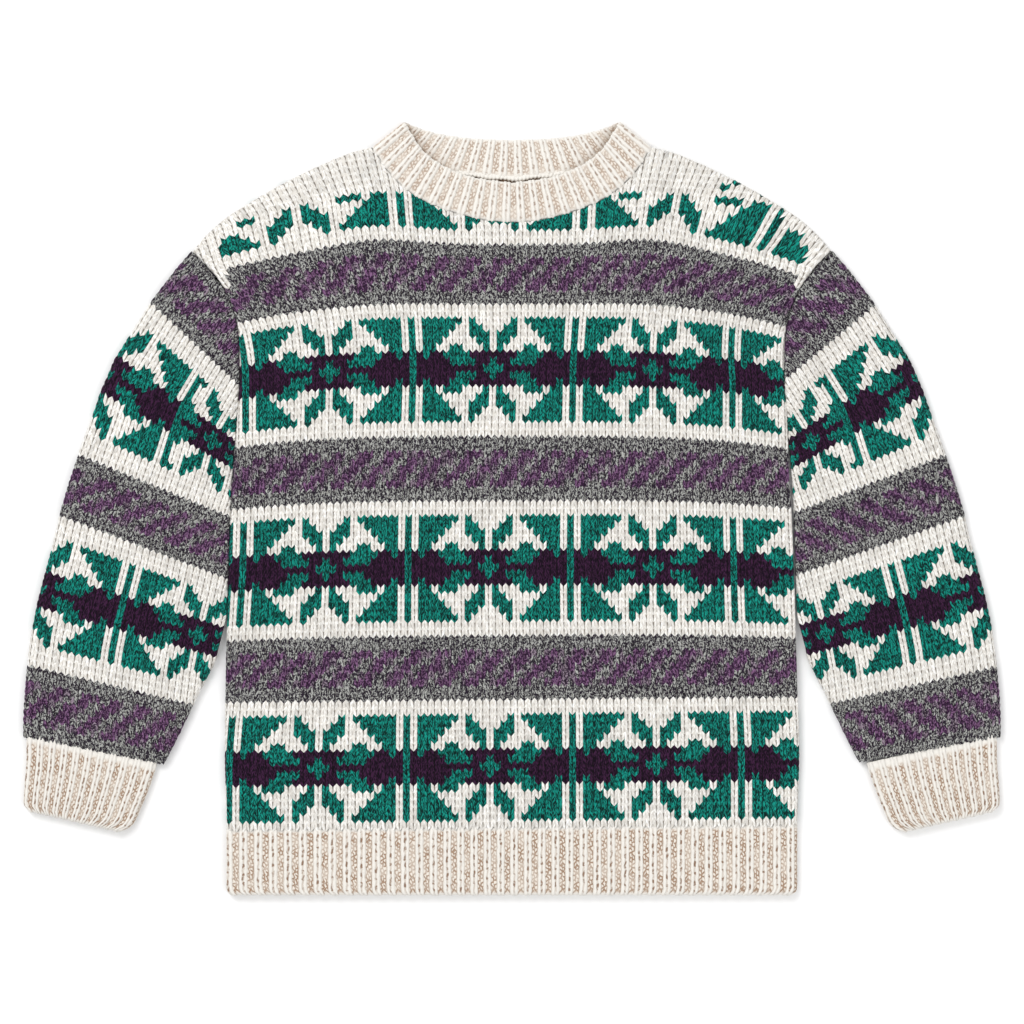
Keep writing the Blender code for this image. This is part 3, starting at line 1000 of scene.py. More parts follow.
@dataclass(frozen=True)
class ColourworkFinish:
    """Stockinette in dyed yarns, each leg mixed from a light and a dark colour, with painted shade in the
    gaps between legs. The two colours are a painted highlight and a painted shade on a plain yarn, and
    the real strands on a flecked yarn.

    Places across a leg are shares of its half of the stitch, and those along it are shares of a row. An
    edge is a pair of levels between which something comes in. The flecks of a marl yarn are finer and
    sharper than the strokes of the others.
    """

    name: str = "fair_isle_wool"
    leg_middle: float = 0.44
    leg_lean: float = 0.20
    leg_narrowness: float = 2.15
    leg_taper: float = 1.7
    gap_shade: float = 0.31
    gap_tint: tuple[float, ...] = (1.0, 0.93, 0.86, 1.0)
    gap_edge: tuple[float, float] = (0.0, 0.58)
    gap_lost_in_flecks: float = 0.45
    gap_lost_at_sides: float = 0.55
    side_edge: tuple[float, float] = (0.55, 0.85)
    stroke_scale: float = 1.6
    stroke_lean: float = 0.35
    strokes_across: float = 1.9
    strokes_up: float = 1.5
    stroke_edge: tuple[float, float] = (0.39, 0.64)
    flecks_up: float = 1.3
    fleck_edge: tuple[float, float] = (0.475, 0.575)
    twist_apart: float = 40.0
    curls: float = 760.0
    curl: float = 0.9
    fibres: float = 1500.0
    clouds: float = 38.0
    fuzz: float = 0.16
    tone: float = 0.97
    cloudiness: float = 0.16
    leg_rise: float = 0.7
    light_rise: float = 0.20
    fibre_rise: float = 0.10
    bump_depth: float = 1.0
    bump_strength: float = 0.8
    wool: WoolFinish = WoolFinish()

    def _leg(self, row: Flow, side: Flow) -> Flow:
        """Shapes the leg.

        Args:
            row: the place along it.
            side: the place across it.

        Returns:
            1 along the leg's middle to 0 in the gaps round it.
        """
        off_leg = (side - self.leg_middle - self.leg_lean * row) * self.leg_narrowness
        along = row - 0.5
        return (1.0 - off_leg * off_leg).root() * (1.0 - self.leg_taper * along * along).root()

    def _light_share(self, sheet: NodeSheet, leaning: Flow, up: Flow, fibre: Flow) -> Flow:
        """Sets how much of the light colour shows: soft strokes of painted highlight on a plain yarn,
        sharp flecks of the real light strand on a flecked yarn.

        Args:
            sheet: the material's nodes.
            leaning: the place across, leaning with the highlight strokes and the strands.
            up: the rows up.
            fibre: the yarn's fine noise.

        Returns:
            How much of the light colour shows.
        """
        twist = self.twist_apart * sheet.attribute("twist")
        stroke = sheet.noise(self.stroke_scale, 1.0, sheet.joined(leaning, self.strokes_up * up, twist))
        soft = (stroke + self.fuzz * (fibre - 0.5)).eased(*self.stroke_edge)
        strand = sheet.noise(self.stroke_scale, 0.5, sheet.joined(leaning, self.flecks_up * up, twist))
        curled = sheet.noise(self.curls, 0.5, curl=self.curl)
        sharp = (0.5 * strand + 0.5 * curled).eased(*self.fleck_edge)
        return soft + (sharp - soft) * sheet.attribute("fleck")

    def material(self) -> bpy.types.Material:
        """Builds the material.

        Returns:
            The material, which reads the piece's light, dark, fleck and twist attributes.
        """
        sheet = NodeSheet(self.name)
        self.wool.apply(sheet)
        across, up = sheet.stitch_place()
        fibre = sheet.noise(self.fibres)
        row = up.fraction()
        side = (2.0 * across.fraction() - 1.0).size()
        leg = self._leg(row, side)
        leaning = self.strokes_across * (side - self.stroke_lean * row)
        share = self._light_share(sheet, leaning, up, fibre)
        # Mixes the dark and light colours: painted shade and painted highlight on plain yarns, real
        # strands on flecked yarns.
        wool = sheet.mixed(share, sheet.attribute("dark", "Color"), sheet.attribute("light", "Color"))
        gap = 1.0 - leg.eased(*self.gap_edge)
        gap = gap * (1.0 - self.gap_lost_in_flecks * sheet.attribute("fleck"))
        gap = gap * (1.0 - self.gap_lost_at_sides * side.eased(*self.side_edge))
        cloudy = self.tone + self.cloudiness * (sheet.noise(self.clouds) - 0.5)
        tone = (1.0 - (1.0 - self.gap_shade) * gap) * cloudy
        shaded = sheet.multiplied(sheet.mixed(gap, WHITE, self.gap_tint), sheet.grey(tone))
        height = self.leg_rise * leg + self.light_rise * share + self.fibre_rise * fibre
        colour = sheet.multiplied(wool, shaded)
        return sheet.finish(colour, height, self.bump_depth * MM, self.bump_strength)


@dataclass(frozen=True)
class RibFinish:
    """1x1 rib in natural wool: pale legs with painted shade at their sides, a dashed line of brown
    painted shade down each knit column, beaded purl furrows with brown painted shade in the net between
    the beads.

    Places across are shares of a rib, and those up are rows. An edge is the pair of distances between
    which something fades.
    """

    name: str = "rib_wool"
    leg_colour: tuple[float, ...] = linear(233, 229, 222)
    leg_side_shade_colour: tuple[float, ...] = linear(219, 209, 197)
    bead_colour: tuple[float, ...] = linear(232, 224, 213)
    dash_shade_colour: tuple[float, ...] = linear(146, 118, 98)
    net_shade_colour: tuple[float, ...] = linear(156, 127, 104)
    shade_colour: tuple[float, ...] = linear(172, 150, 130)
    trim_edge: tuple[float, float] = (0.1, 0.9)
    knit_middle: float = 0.30
    leg_out: float = 0.155
    leg_edge: tuple[float, float] = (0.085, 0.15)
    dashes_up: float = 0.84
    dash_shift: float = 0.37
    dash_edge: tuple[float, float] = (0.045, 0.11)
    dash_ends: tuple[float, float] = (0.16, 0.30)
    dash_warp: float = 1.1
    dash_between: float = 0.16
    dash_least: float = 0.35
    dash_lumps: tuple[float, float] = (0.36, 0.54)
    purl_middle: float = 0.80
    purl_half: float = 0.215
    furrow_edge: tuple[float, float] = (0.85, 1.10)
    beads_up: float = 1.85
    bead_shift: float = 0.43
    bead_unevenness: float = 0.75
    bead_columns_apart: float = 0.05
    net_edge: tuple[float, float] = (0.05, 0.32)
    net_least: float = 0.55
    net_clouds: tuple[float, float] = (0.35, 0.6)
    arch_top: float = 0.72
    arch_slope: float = 2.4
    arch_edge: tuple[float, float] = (0.05, 0.22)
    arch_sides: tuple[float, float] = (0.20, 0.27)
    arch_end: tuple[float, float] = (0.8, 1.0)
    arch_strength: float = 0.7
    tone: float = 0.98
    fibre_tone: float = 0.20
    lump_tone: float = 0.10
    cloud_tone: float = 0.08
    leg_rise: float = 0.55
    bead_rise: float = 0.45
    fibre_rise: float = 0.12
    dash_fall: float = 0.35
    arch_fall: float = 0.2
    warps: float = 260.0
    warp_reach: float = 0.13
    lumps: float = 360.0
    clouds: float = 90.0
    fibres: float = 1500.0
    bump_depth: float = 0.9
    bump_strength: float = 0.8
    wool: WoolFinish = WoolFinish()

    def _dash(self, from_middle: Flow, place: Flow, lumpy: Flow) -> Flow:
        """Draws the dashed line of painted shade between the two legs of a knit column.

        Args:
            from_middle: how far a place is from the line.
            place: the place along it, a dash to each unit.
            lumpy: the noise that breaks it up.

        Returns:
            1 on a dash and 0 off it.
        """
        length = 1.0 - (place.fraction() - 0.5).size().eased(*self.dash_ends)
        depth = self.dash_least + (1.0 - self.dash_least) * lumpy.eased(*self.dash_lumps)
        length = self.dash_between + (1.0 - self.dash_between) * length
        return (1.0 - from_middle.eased(*self.dash_edge)) * length * depth

    def _net(self, sheet: NodeSheet, across_purl: Flow, place: Flow, cloudy: Flow) -> Flow:
        """Draws the net of brown painted shade between the beads of a purl furrow, in two staggered
        columns.

        Args:
            sheet: the material's nodes.
            across_purl: the place across the furrow, from -1 to 1.
            place: the place up it, a bead to each unit.
            cloudy: the noise that makes it fainter in places.

        Returns:
            1 on the net and 0 on the beads.
        """
        staggered = place + 0.5 * across_purl.eased(-self.bead_columns_apart, self.bead_columns_apart)
        net = 1.0 - sheet.cells(across_purl, staggered, self.bead_unevenness).eased(*self.net_edge)
        return net * (self.net_least + (1.0 - self.net_least) * cloudy.eased(*self.net_clouds))

    def _arch(self, from_purl: Flow, up: Flow) -> Flow:
        """Draws the arch of painted shade that closes each furrow at the cast-on edge.

        Args:
            from_purl: how far a place is from the furrow's middle.
            up: the rows up.

        Returns:
            1 on the arch and 0 off it.
        """
        off_arch = (up - self.arch_top + self.arch_slope * from_purl).size()
        on_arch = 1.0 - off_arch.eased(*self.arch_edge)
        return on_arch * (1.0 - from_purl.eased(*self.arch_sides)) * (1.0 - up.eased(*self.arch_end))

    def material(self) -> bpy.types.Material:
        """Builds the material.

        Returns:
            The material, which reads the piece's places in ribs and rows, its trim and its shade.
        """
        sheet = NodeSheet(self.name)
        self.wool.apply(sheet)
        across, up = sheet.stitch_place()
        rib = across - across.fraction()
        trim = sheet.attribute("trim").eased(*self.trim_edge)
        warp, lumpy = sheet.noise(self.warps, 0.0), sheet.noise(self.lumps)
        cloudy, fibre = sheet.noise(self.clouds), sheet.noise(self.fibres)
        place = across.fraction() + self.warp_reach * (warp - 0.5)
        from_middle = (place - self.knit_middle).size()
        leg = 1.0 - (from_middle - self.leg_out).size().eased(*self.leg_edge)
        along_dashes = self.dashes_up * up + self.dash_shift * rib + self.dash_warp * (warp - 0.5)
        dash = self._dash(from_middle, along_dashes, lumpy) * (1.0 - trim)
        across_purl = (place - self.purl_middle) / self.purl_half
        furrow = (1.0 - across_purl.size().eased(*self.furrow_edge)) * (1.0 - trim)
        net = self._net(sheet, across_purl, self.beads_up * up + self.bead_shift * rib, cloudy)
        arch = self._arch((across.fraction() - self.purl_middle).size(), up)
        # Painted shade on the rounded sides of each knit leg, none on the plain trim.
        knit = sheet.mixed(leg + (1.0 - leg) * trim, self.leg_side_shade_colour, self.leg_colour)
        # In the purl furrows, painted shade in the net between the beads.
        colour = sheet.mixed(furrow, knit, sheet.mixed(net, self.bead_colour, self.net_shade_colour))
        # Painted shade in the dashed line between the two legs of each knit column.
        colour = sheet.mixed(dash, colour, self.dash_shade_colour)
        # Painted shade in the arches at the cast-on edge.
        colour = sheet.mixed(arch * self.arch_strength, colour, self.net_shade_colour)
        tone = self.tone + self.fibre_tone * (fibre - 0.5)
        tone = tone + self.lump_tone * (lumpy - 0.5) + self.cloud_tone * (cloudy - 0.5)
        colour = sheet.multiplied(colour, sheet.grey(tone))
        colour = sheet.multiplied(colour, sheet.mixed(sheet.attribute("shade"), WHITE, self.shade_colour))
        height = self.leg_rise * leg + self.bead_rise * furrow * (1.0 - net)
        height = height + self.fibre_rise * fibre - self.dash_fall * dash - self.arch_fall * arch
        return sheet.finish(colour, height, self.bump_depth * MM, self.bump_strength)


@dataclass
class BodyPanel:
    """The front or the back of the body, from the top of the hem rib to the shoulders and the neckline.

    Lengths are in millimetres. The row heights say where each row lies in plan at the middle. Most other
    curves run over the share of the way up. They are the stitches' pitch and how much it widens past the
    fan's start, how far the middle sways to +X, how far the rows droop at the sides, how far they are
    raised at +X, how far they tilt, and their hump beside the neck. The wedge is how wide the plain strip
    along the armhole is, over the height in plan. The nudges are how far stitches lie from even spacing,
    with a line for each level and a value for each place across.
    """

    layer: Layer
    node: str
    neckline: Curve
    columns: int = 83
    height: float = 575.4
    droop_power: float = 3.5
    fan_start: float = 15.0
    flat_size: tuple[float, float] = (0.545, 0.576)
    row_height: Curve = Curve([
        (-1.0, -276.8), (0.0, -270.4), (1.0, -263.6), (18.0, -161.5), (29.0, -95.0), (38.0, -40.4),
        (46.0, 6.4), (57.0, 73.2), (67.0, 133.2), (72.0, 161.4), (74.0, 172.4), (83.0, 223.2),
        (85.0, 235.0), (97.0, 305.0), (98.0, 311.0),
    ])
    pitch: Curve = Curve([
        (0.0, 5.96), (0.1, 5.95), (0.385, 5.75), (0.673, 5.75), (0.906, 6.42), (1.0, 6.6),
    ])
    nudge_up: tuple[float, ...] = (0.10, 0.385, 0.673, 0.88, 0.93, 1.0)
    nudge_out: tuple[float, ...] = (-36, -30, -24, -18, -12, -6, 0, 6, 12, 18, 24, 30, 36)
    nudges: tuple[tuple[float, ...], ...] = (
        (-6.8, -3.4, -1.5, 0.8, 0.8, 0.0, 0.0, -1.3, -2.1, -2.5, -2.3, -2.1, -2.3),
        (0.0, 0.8, 0.8, 1.1, 0.8, -0.4, 0.0, 0.0, 0.3, 0.3, 0.8, -0.8, -3.8),
        (-1.1, -0.3, 0.6, 1.5, 1.5, 0.2, 0.0, -1.0, -1.9, -3.0, -3.1, -3.4, -5.1),
        (-0.8, 0.0, 0.8, 0.0, -0.8, -1.7, -0.8, -0.4, 0.0, -3.8, -10.5, -15.2, -20.3),
        (-3.8, -2.0, -0.8, -1.0, -1.3, -1.7, -0.8, -0.4, 0.0, -1.5, -6.0, -0.5, 3.0),
        (-24.0, -20.0, -15.0, -9.0, -4.0, -1.7, -0.8, 0.6, 2.0, 6.0, 9.0, 14.0, 18.0),
    )
    raised: Curve = Curve([(-0.01, 0.0), (0.878, 0.0), (0.93, 10.0), (1.01, 8.0)])
    raised_from: tuple[float, float] = (20.0, 29.0)
    sway: Curve = Curve([
        (0.0, -0.7), (0.1, -0.7), (0.385, -2.5), (0.673, 1.2), (0.906, 3.4), (1.0, 3.4),
    ])
    fan: Curve = Curve([(0.0, 0.0), (0.75, 0.0), (0.88, 0.84), (1.0, 0.84)])
    droop: Curve = Curve([
        (-0.01, 0.0), (0.0, 0.0), (0.19, 0.5), (0.284, 3.9), (0.48, 7.3), (0.576, 10.5), (0.77, 20.5),
        (0.858, 34.0), (1.0, 62.0),
    ])
    yoke_darkening: float = 0.09
    yoke_darkening_from: tuple[float, float] = (0.92, 0.97)
    puff_height: float = 2.2
    puff_margin: float = 14.0
    shoulder_roll: tuple[float, float] = (-4.0, 6.0)
    side_power: int = 4
    wedge: Curve = Curve([
        (181.0, -9.0), (183.0, 2.0), (190.0, 9.0), (197.0, 14.5), (208.0, 19.0), (227.0, 30.0),
        (242.0, 43.0),
    ])
    tilt: Curve = Curve([
        (-0.01, 2.2), (0.0, 2.2), (0.1, 2.9), (0.19, 2.3), (0.284, 1.6), (0.48, 0.8), (0.6, 0.0),
        (1.01, 0.0),
    ])
    hump_middle: float = 0.45
    hump_width: float = 0.17
    hump: Curve = Curve([(-0.01, 0.0), (0.7, 0.0), (0.76, 0.6), (0.85, 5.7), (1.01, 5.7)])

    def _nudged(self, share_up: np.ndarray, stitches: np.ndarray) -> np.ndarray:
        """How far the stitches lie from even spacing, as the photograph shows them.

        Args:
            share_up: the share of the way up the panel.
            stitches: the stitches, counted from the middle to +X.

        Returns:
            The distances in millimetres towards +X.
        """
        level = np.interp(share_up, self.nudge_up, np.arange(len(self.nudge_up)))
        rows = np.array([np.interp(stitches, self.nudge_out, row) for row in self.nudges])
        below = np.clip(level.astype(int), 0, len(self.nudge_up) - 2)
        part = level - below
        lower = np.take_along_axis(rows, below[None], axis=0)[0]
        upper = np.take_along_axis(rows, below[None] + 1, axis=0)[0]
        return lower * (1 - part) + upper * part

    def build(self, material: bpy.types.Material) -> Built:
        """Knits the panel.

        Args:
            material: the colourwork finish.

        Returns:
            The panel, and the area of its cloth in square metres.
        """
        knit = Stockinette(self.columns, BODY_BANDS.rows)
        stitches = (knit.leant - self.columns / 2) * self.layer
        share_up = np.clip((self.row_height(knit.height) - HEM_TOP) / self.height, -0.01, 1.01)
        share_out = np.clip(np.abs(stitches) / (self.columns / 2), 0, 1)
        y = self._rows_lie(stitches, share_up, share_out)
        half_width = SIDE_SEAM(y)
        arc_width = half_width + roll_extra(WALL_MIDDLE)
        walked_out = self._walked_out(stitches, share_up, share_out, arc_width)
        in_wedge = knit.at_legs(np.abs(walked_out) > arc_width - self.wedge(y))
        past_seam = np.abs(walked_out) - arc_width
        walked_out = np.clip(walked_out, -arc_width, arc_width)
        inset, lift = rolled(arc_width - np.abs(walked_out), WALL_MIDDLE)
        x = np.sign(walked_out) * (half_width - inset)
        top = np.where(np.abs(x) < NECK_CORNER, self.neckline(np.abs(x)), SHOULDER(np.abs(x)))
        beyond = y - top
        start, full = self.shoulder_roll
        on_shoulder = np.clip((np.abs(x) - NECK_CORNER - start) / (full - start), 0, 1)
        lift = np.minimum(lift, 1 - on_shoulder * (1 - dropped(-beyond, WALL_MIDDLE)))
        y = np.minimum(y, top)
        if self.layer is Layer.UPPER:
            dome = np.sin(np.pi * np.clip(share_up, 0, 1)) ** DOME_POWER
            dome = (1 - share_out**self.side_power) * dome
            from_top = np.clip((top - y) / self.puff_margin, 0, 1)
            level = LEGS_LIE + (self.puff_height * dome + crease_rise(BODY_CREASES, x, y)) * from_top
            z = WALL_MIDDLE + (level - WALL_MIDDLE) * lift
        else:
            z = WALL_MIDDLE - UNDER_LEGS * lift
        relief = knit.relief() * np.clip(LEAST_RELIEF + lift, 0, 1)
        kept = kept_faces((beyond > 0) | (past_seam > 0))
        lattice = Lattice(np.stack([x, y, z], axis=-1), relief, knit.stitch_places(), kept)
        yarns = BODY_BANDS.yarns(knit.leg_places(), knit.chance)
        yarns[in_wedge] = Yarn.CREAM
        knit.dye(lattice, yarns)
        # The yarns' light colours are darker towards the top of the panel.
        start, full = self.yoke_darkening_from
        on_yoke = np.clip((share_up[1:, 1:, None] - start) / (full - start), 0, 1)
        lattice.light[..., :3] *= 1 - self.yoke_darkening * on_yoke
        piece = lattice.build(f"{self.node}_knitting", material, weld=False)
        return piece, lattice.flat_area()

    def _rows_lie(self, stitches: np.ndarray, share_up: np.ndarray, share_out: np.ndarray) -> np.ndarray:
        """Lays the rows with their droop, humps and tilt.

        Args:
            stitches: the stitches, counted from the middle to +X.
            share_up: the share of the way up the panel.
            share_out: the share of the way from the middle to the side.

        Returns:
            The heights in plan, in millimetres.
        """
        start, full = self.raised_from
        y = HEM_TOP + self.height * share_up - self.droop(share_up) * share_out**self.droop_power
        y = y + self.hump(share_up) * np.exp(-(((share_out - self.hump_middle) / self.hump_width) ** 2))
        y = y + self.tilt(share_up) * stitches / (self.columns / 2)
        return y + self.raised(share_up) * np.clip((stitches - start) / (full - start), 0, 1)

    def _walked_out(
        self, stitches: np.ndarray, share_up: np.ndarray, share_out: np.ndarray, arc_width: np.ndarray
    ) -> np.ndarray:
        """Spaces the stitches along the cloth.

        Args:
            stitches: the stitches, counted from the middle to +X.
            share_up: the share of the way up the panel.
            share_out: the share of the way from the middle to the side.
            arc_width: how far the cloth runs from the middle to the end of its rolled side.

        Returns:
            The distances along the cloth in millimetres, towards +X.
        """
        half_count = self.columns / 2
        pitch, fan = self.pitch(share_up), self.fan(share_up)
        fanned = np.clip(np.abs(stitches) - self.fan_start, 0, None)
        all_reached = pitch * half_count + fan * (half_count - self.fan_start)
        at_side = share_out**self.side_power
        spread = np.clip(arc_width - all_reached, 0, None) * at_side
        reached = pitch * np.abs(stitches) + fan * fanned + spread
        swayed = self.sway(share_up) * (1 - at_side)
        return swayed + reached * np.sign(stitches) + self._nudged(share_up, stitches)


@dataclass
class Sleeve:
    """A sleeve as one tube laid flat, its rows fanning from the armhole to the cuff.

    The tilts and slips are read at the fan's rows, first for the sleeve at -X and then for the one at
    +X. They are how steeply a row runs down from the fold, in degrees, and how far it has slipped along
    the fold, in millimetres. The walk is how far in from the fold each stitch lies, along the cloth. At
    the cuff the last rows drop on to it.
    """

    side: int
    node: str
    reach: int = 27
    end_drop: float = 0.38
    dropped_rows: float = 0.7
    puff_height: float = 2.0
    puff_rows: tuple[float, float] = (5.0, 6.0)
    armhole_heights: tuple[float, float] = (217.0, 7.0)
    armhole_gap: float = 0.45
    armhole_roll: float = 0.93
    rows_tried: int = 400
    flat_size: tuple[float, float] = (0.340, 0.445)
    fan_rows: tuple[float, ...] = (0, 9, 20, 30, 40, 50, 61, 71)
    tilts: tuple[tuple[float, ...], ...] = (
        (44.8, 43.1, 32.5, 22.2, 20.6, 16.6, 13.4, 11.1),
        (43.1, 39.7, 31.2, 20.9, 19.4, 15.7, 12.5, 10.1),
    )
    slips: tuple[tuple[float, ...], ...] = (
        (0.6, 0.2, 4.1, 11.6, 3.3, 1.4, 1.2, 0.0),
        (-0.6, 2.8, 7.1, 11.6, 3.7, 2.0, 2.4, 0.0),
    )
    walk: Curve = Curve([(0.0, 0.0), (10.5, 66.3), (23.5, 140.3), (27.0, 159.5)])

    def __post_init__(self) -> None:
        """Picks the tilt and the slip of the rows on this side."""
        pick = 0 if self.side < 0 else 1
        self.tilt = Curve(list(zip(self.fan_rows, self.tilts[pick])))
        self.slip = Curve(list(zip(self.fan_rows, self.slips[pick])))

    def _inner_reach(self, rows_down: np.ndarray, folds: WalkedLine) -> tuple[np.ndarray, np.ndarray]:
        """How far the cloth runs in from the fold before it meets the armhole or the underarm seam.

        Args:
            rows_down: rows counted from the shoulder.
            folds: the sleeve's outer fold.

        Returns:
            The rows that were tried, and the reach of each in millimetres.
        """
        heights = np.linspace(*self.armhole_heights, 40)
        armhole = np.stack([SIDE_SEAM(heights) + self.armhole_gap, heights], axis=-1)
        boundary = np.concatenate([armhole, UNDERARM_SEAM[1:]])
        tried = np.linspace(rows_down.min() - 0.5, rows_down.max() + 0.5, self.rows_tried)
        reaches = []
        for row in tried:
            start, inward = self._row_line(np.array(row), folds)
            edge = np.diff(boundary, axis=0)
            to_edge = boundary[:-1] - start
            cross = inward[0] * edge[:, 1] - inward[1] * edge[:, 0]
            cross = np.where(np.abs(cross) < NEARLY_ZERO, NEARLY_ZERO, cross)
            along_row = (to_edge[:, 0] * edge[:, 1] - to_edge[:, 1] * edge[:, 0]) / cross
            along_edge = (to_edge[:, 0] * inward[1] - to_edge[:, 1] * inward[0]) / cross
            hits = along_row[(along_edge >= 0) & (along_edge <= 1) & (along_row > -1)]
            reaches.append(max(hits.min(), 0.0) if len(hits) else 0.0)
        return tried, np.array(reaches)

    def _row_line(self, rows_down: np.ndarray, folds: WalkedLine) -> tuple[np.ndarray, np.ndarray]:
        """Draws the line of each row.

        Args:
            rows_down: rows counted from the shoulder.
            folds: the sleeve's outer fold.

        Returns:
            Where the rows start at the fold, and the way that they run in from it.
        """
        start = folds(rows_down / SLEEVE_BANDS.rows * folds.length + self.slip(rows_down))
        tilt = np.radians(self.tilt(rows_down))
        return start, np.stack([-np.cos(tilt), -np.sin(tilt)], axis=-1)

    def build(self, material: bpy.types.Material) -> Built:
        """Knits the sleeve.

        Args:
            material: the colourwork finish.

        Returns:
            The sleeve, and the area of its cloth in square metres.
        """
        knit = Stockinette(2 * self.reach, SLEEVE_BANDS.rows)
        folds = WalkedLine(SLEEVE_FOLD)
        stitches = -self.side * (knit.leant - self.reach)
        rows_down = SLEEVE_BANDS.rows - knit.height
        start, inward = self._row_line(np.clip(rows_down, 0, SLEEVE_BANDS.rows + 0.5), folds)
        inset, lift = rolled(self.walk(np.abs(stitches)), WALL_MIDDLE)
        tried, reaches = self._inner_reach(rows_down, folds)
        reach = np.interp(rows_down, tried, reaches)
        beyond = inset - reach
        inset = np.minimum(inset, reach)
        lift = np.minimum(lift, dropped(-beyond * self.armhole_roll, WALL_MIDDLE))
        at_end = np.clip((rows_down - SLEEVE_BANDS.rows) / self.dropped_rows + 1, 0, 1)
        lift = lift * (1 - self.end_drop * at_end)
        place = start + inward * inset[..., None]
        x, y = place[..., 0], place[..., 1]
        across = inset / np.maximum(reach, 1.0)
        near_shoulder, near_cuff = self.puff_rows
        ends = np.clip(rows_down / near_shoulder, 0, 1)
        ends = ends * np.clip((SLEEVE_BANDS.rows - rows_down) / near_cuff, 0.25, 1)
        dome = np.sin(np.pi * np.clip(across, 0, 1)) ** DOME_POWER * ends
        level = LEGS_LIE + (self.puff_height + crease_rise(SLEEVE_CREASES, x, y)) * dome
        upper = WALL_MIDDLE + (level - WALL_MIDDLE) * lift
        z = np.where(stitches >= 0, upper, WALL_MIDDLE - UNDER_LEGS * lift)
        relief = knit.relief() * np.clip(LEAST_RELIEF + dropped(-beyond, WALL_MIDDLE), 0, 1)
        base = np.stack([self.side * x, y, z], axis=-1)
        lattice = Lattice(base, relief, knit.stitch_places(), kept_faces(beyond > 0))
        knit.dye(lattice, SLEEVE_BANDS.yarns(np.abs(knit.leg_places() - self.reach), knit.chance))
        piece = lattice.build(f"{self.node}_knitting", material, weld=True)
        return piece, lattice.flat_area()


@dataclass
class Cuff:
    """A ribbed cuff as one tube laid flat, with its top row sunk under the end of the sleeve."""

    side: int
    node: str
    ribs: int = 22
    rows: int = 9
    radius: float = 3.6
    wall_gap: float = 0.35
    up_way: tuple[float, float] = (-0.21, 0.978)
    under_sleeve: float = 2.6
    sunk: float = 1.2
    lip_turn: float = 0.55
    lip_bulge: float = 0.4
    flat_size: tuple[float, float] = (0.215, 0.058)

    def build(self, material: bpy.types.Material) -> Built:
        """Knits the cuff.

        Args:
            material: the rib finish.

        Returns:
            The cuff, and no area, as its cut is a plain rectangle.
        """
        rib = Ribbing(self.ribs, self.rows)
        lines = np.array(CUFF_LINES)
        middle = (lines[:, :2] + lines[:, 2:]) / 2
        down = np.concatenate([[0.0], np.cumsum(np.hypot(*np.diff(middle, axis=0).T))])
        walked_down = (1 - rib.up / self.rows) * down[-1]
        columns = [Curve(list(zip(down, lines[:, k])))(walked_down) for k in range(4)]
        start, end = np.stack(columns[:2], axis=-1), np.stack(columns[2:], axis=-1)
        width = np.linalg.norm(end - start, axis=-1)
        turn = -self.side * (2 * rib.across / self.ribs - 1)
        arc_width = width + 2 * roll_extra(self.radius)
        from_start = np.abs(turn) * arc_width
        near = from_start < arc_width / 2
        inset, lift = rolled(np.where(near, from_start, arc_width - from_start), self.radius)
        inset = np.where(near, inset, width - inset)
        place = start + (end - start) * (inset / width)[..., None]
        hidden = rib.hidden()
        moved_up = rib.reach_in(self.lip_bulge) + self.under_sleeve * hidden
        place = place + np.array(self.up_way) * moved_up[..., None]
        upper = self.radius + self.wall_gap + (self.radius - self.wall_gap - self.sunk * hidden) * lift
        under = self.radius - (self.radius - RIB_LIES - self.sunk * hidden) * lift
        on_top = turn >= 0
        z = np.where(on_top, upper, under)
        z = z + (self.radius + np.where(on_top, 1, -1) * self.wall_gap - z) * rib.turned_in(self.lip_turn)
        base = np.stack([self.side * place[..., 0], place[..., 1], z], axis=-1)
        return rib.piece(f"{self.node}_ribbing", material, base, lift, weld=True), None


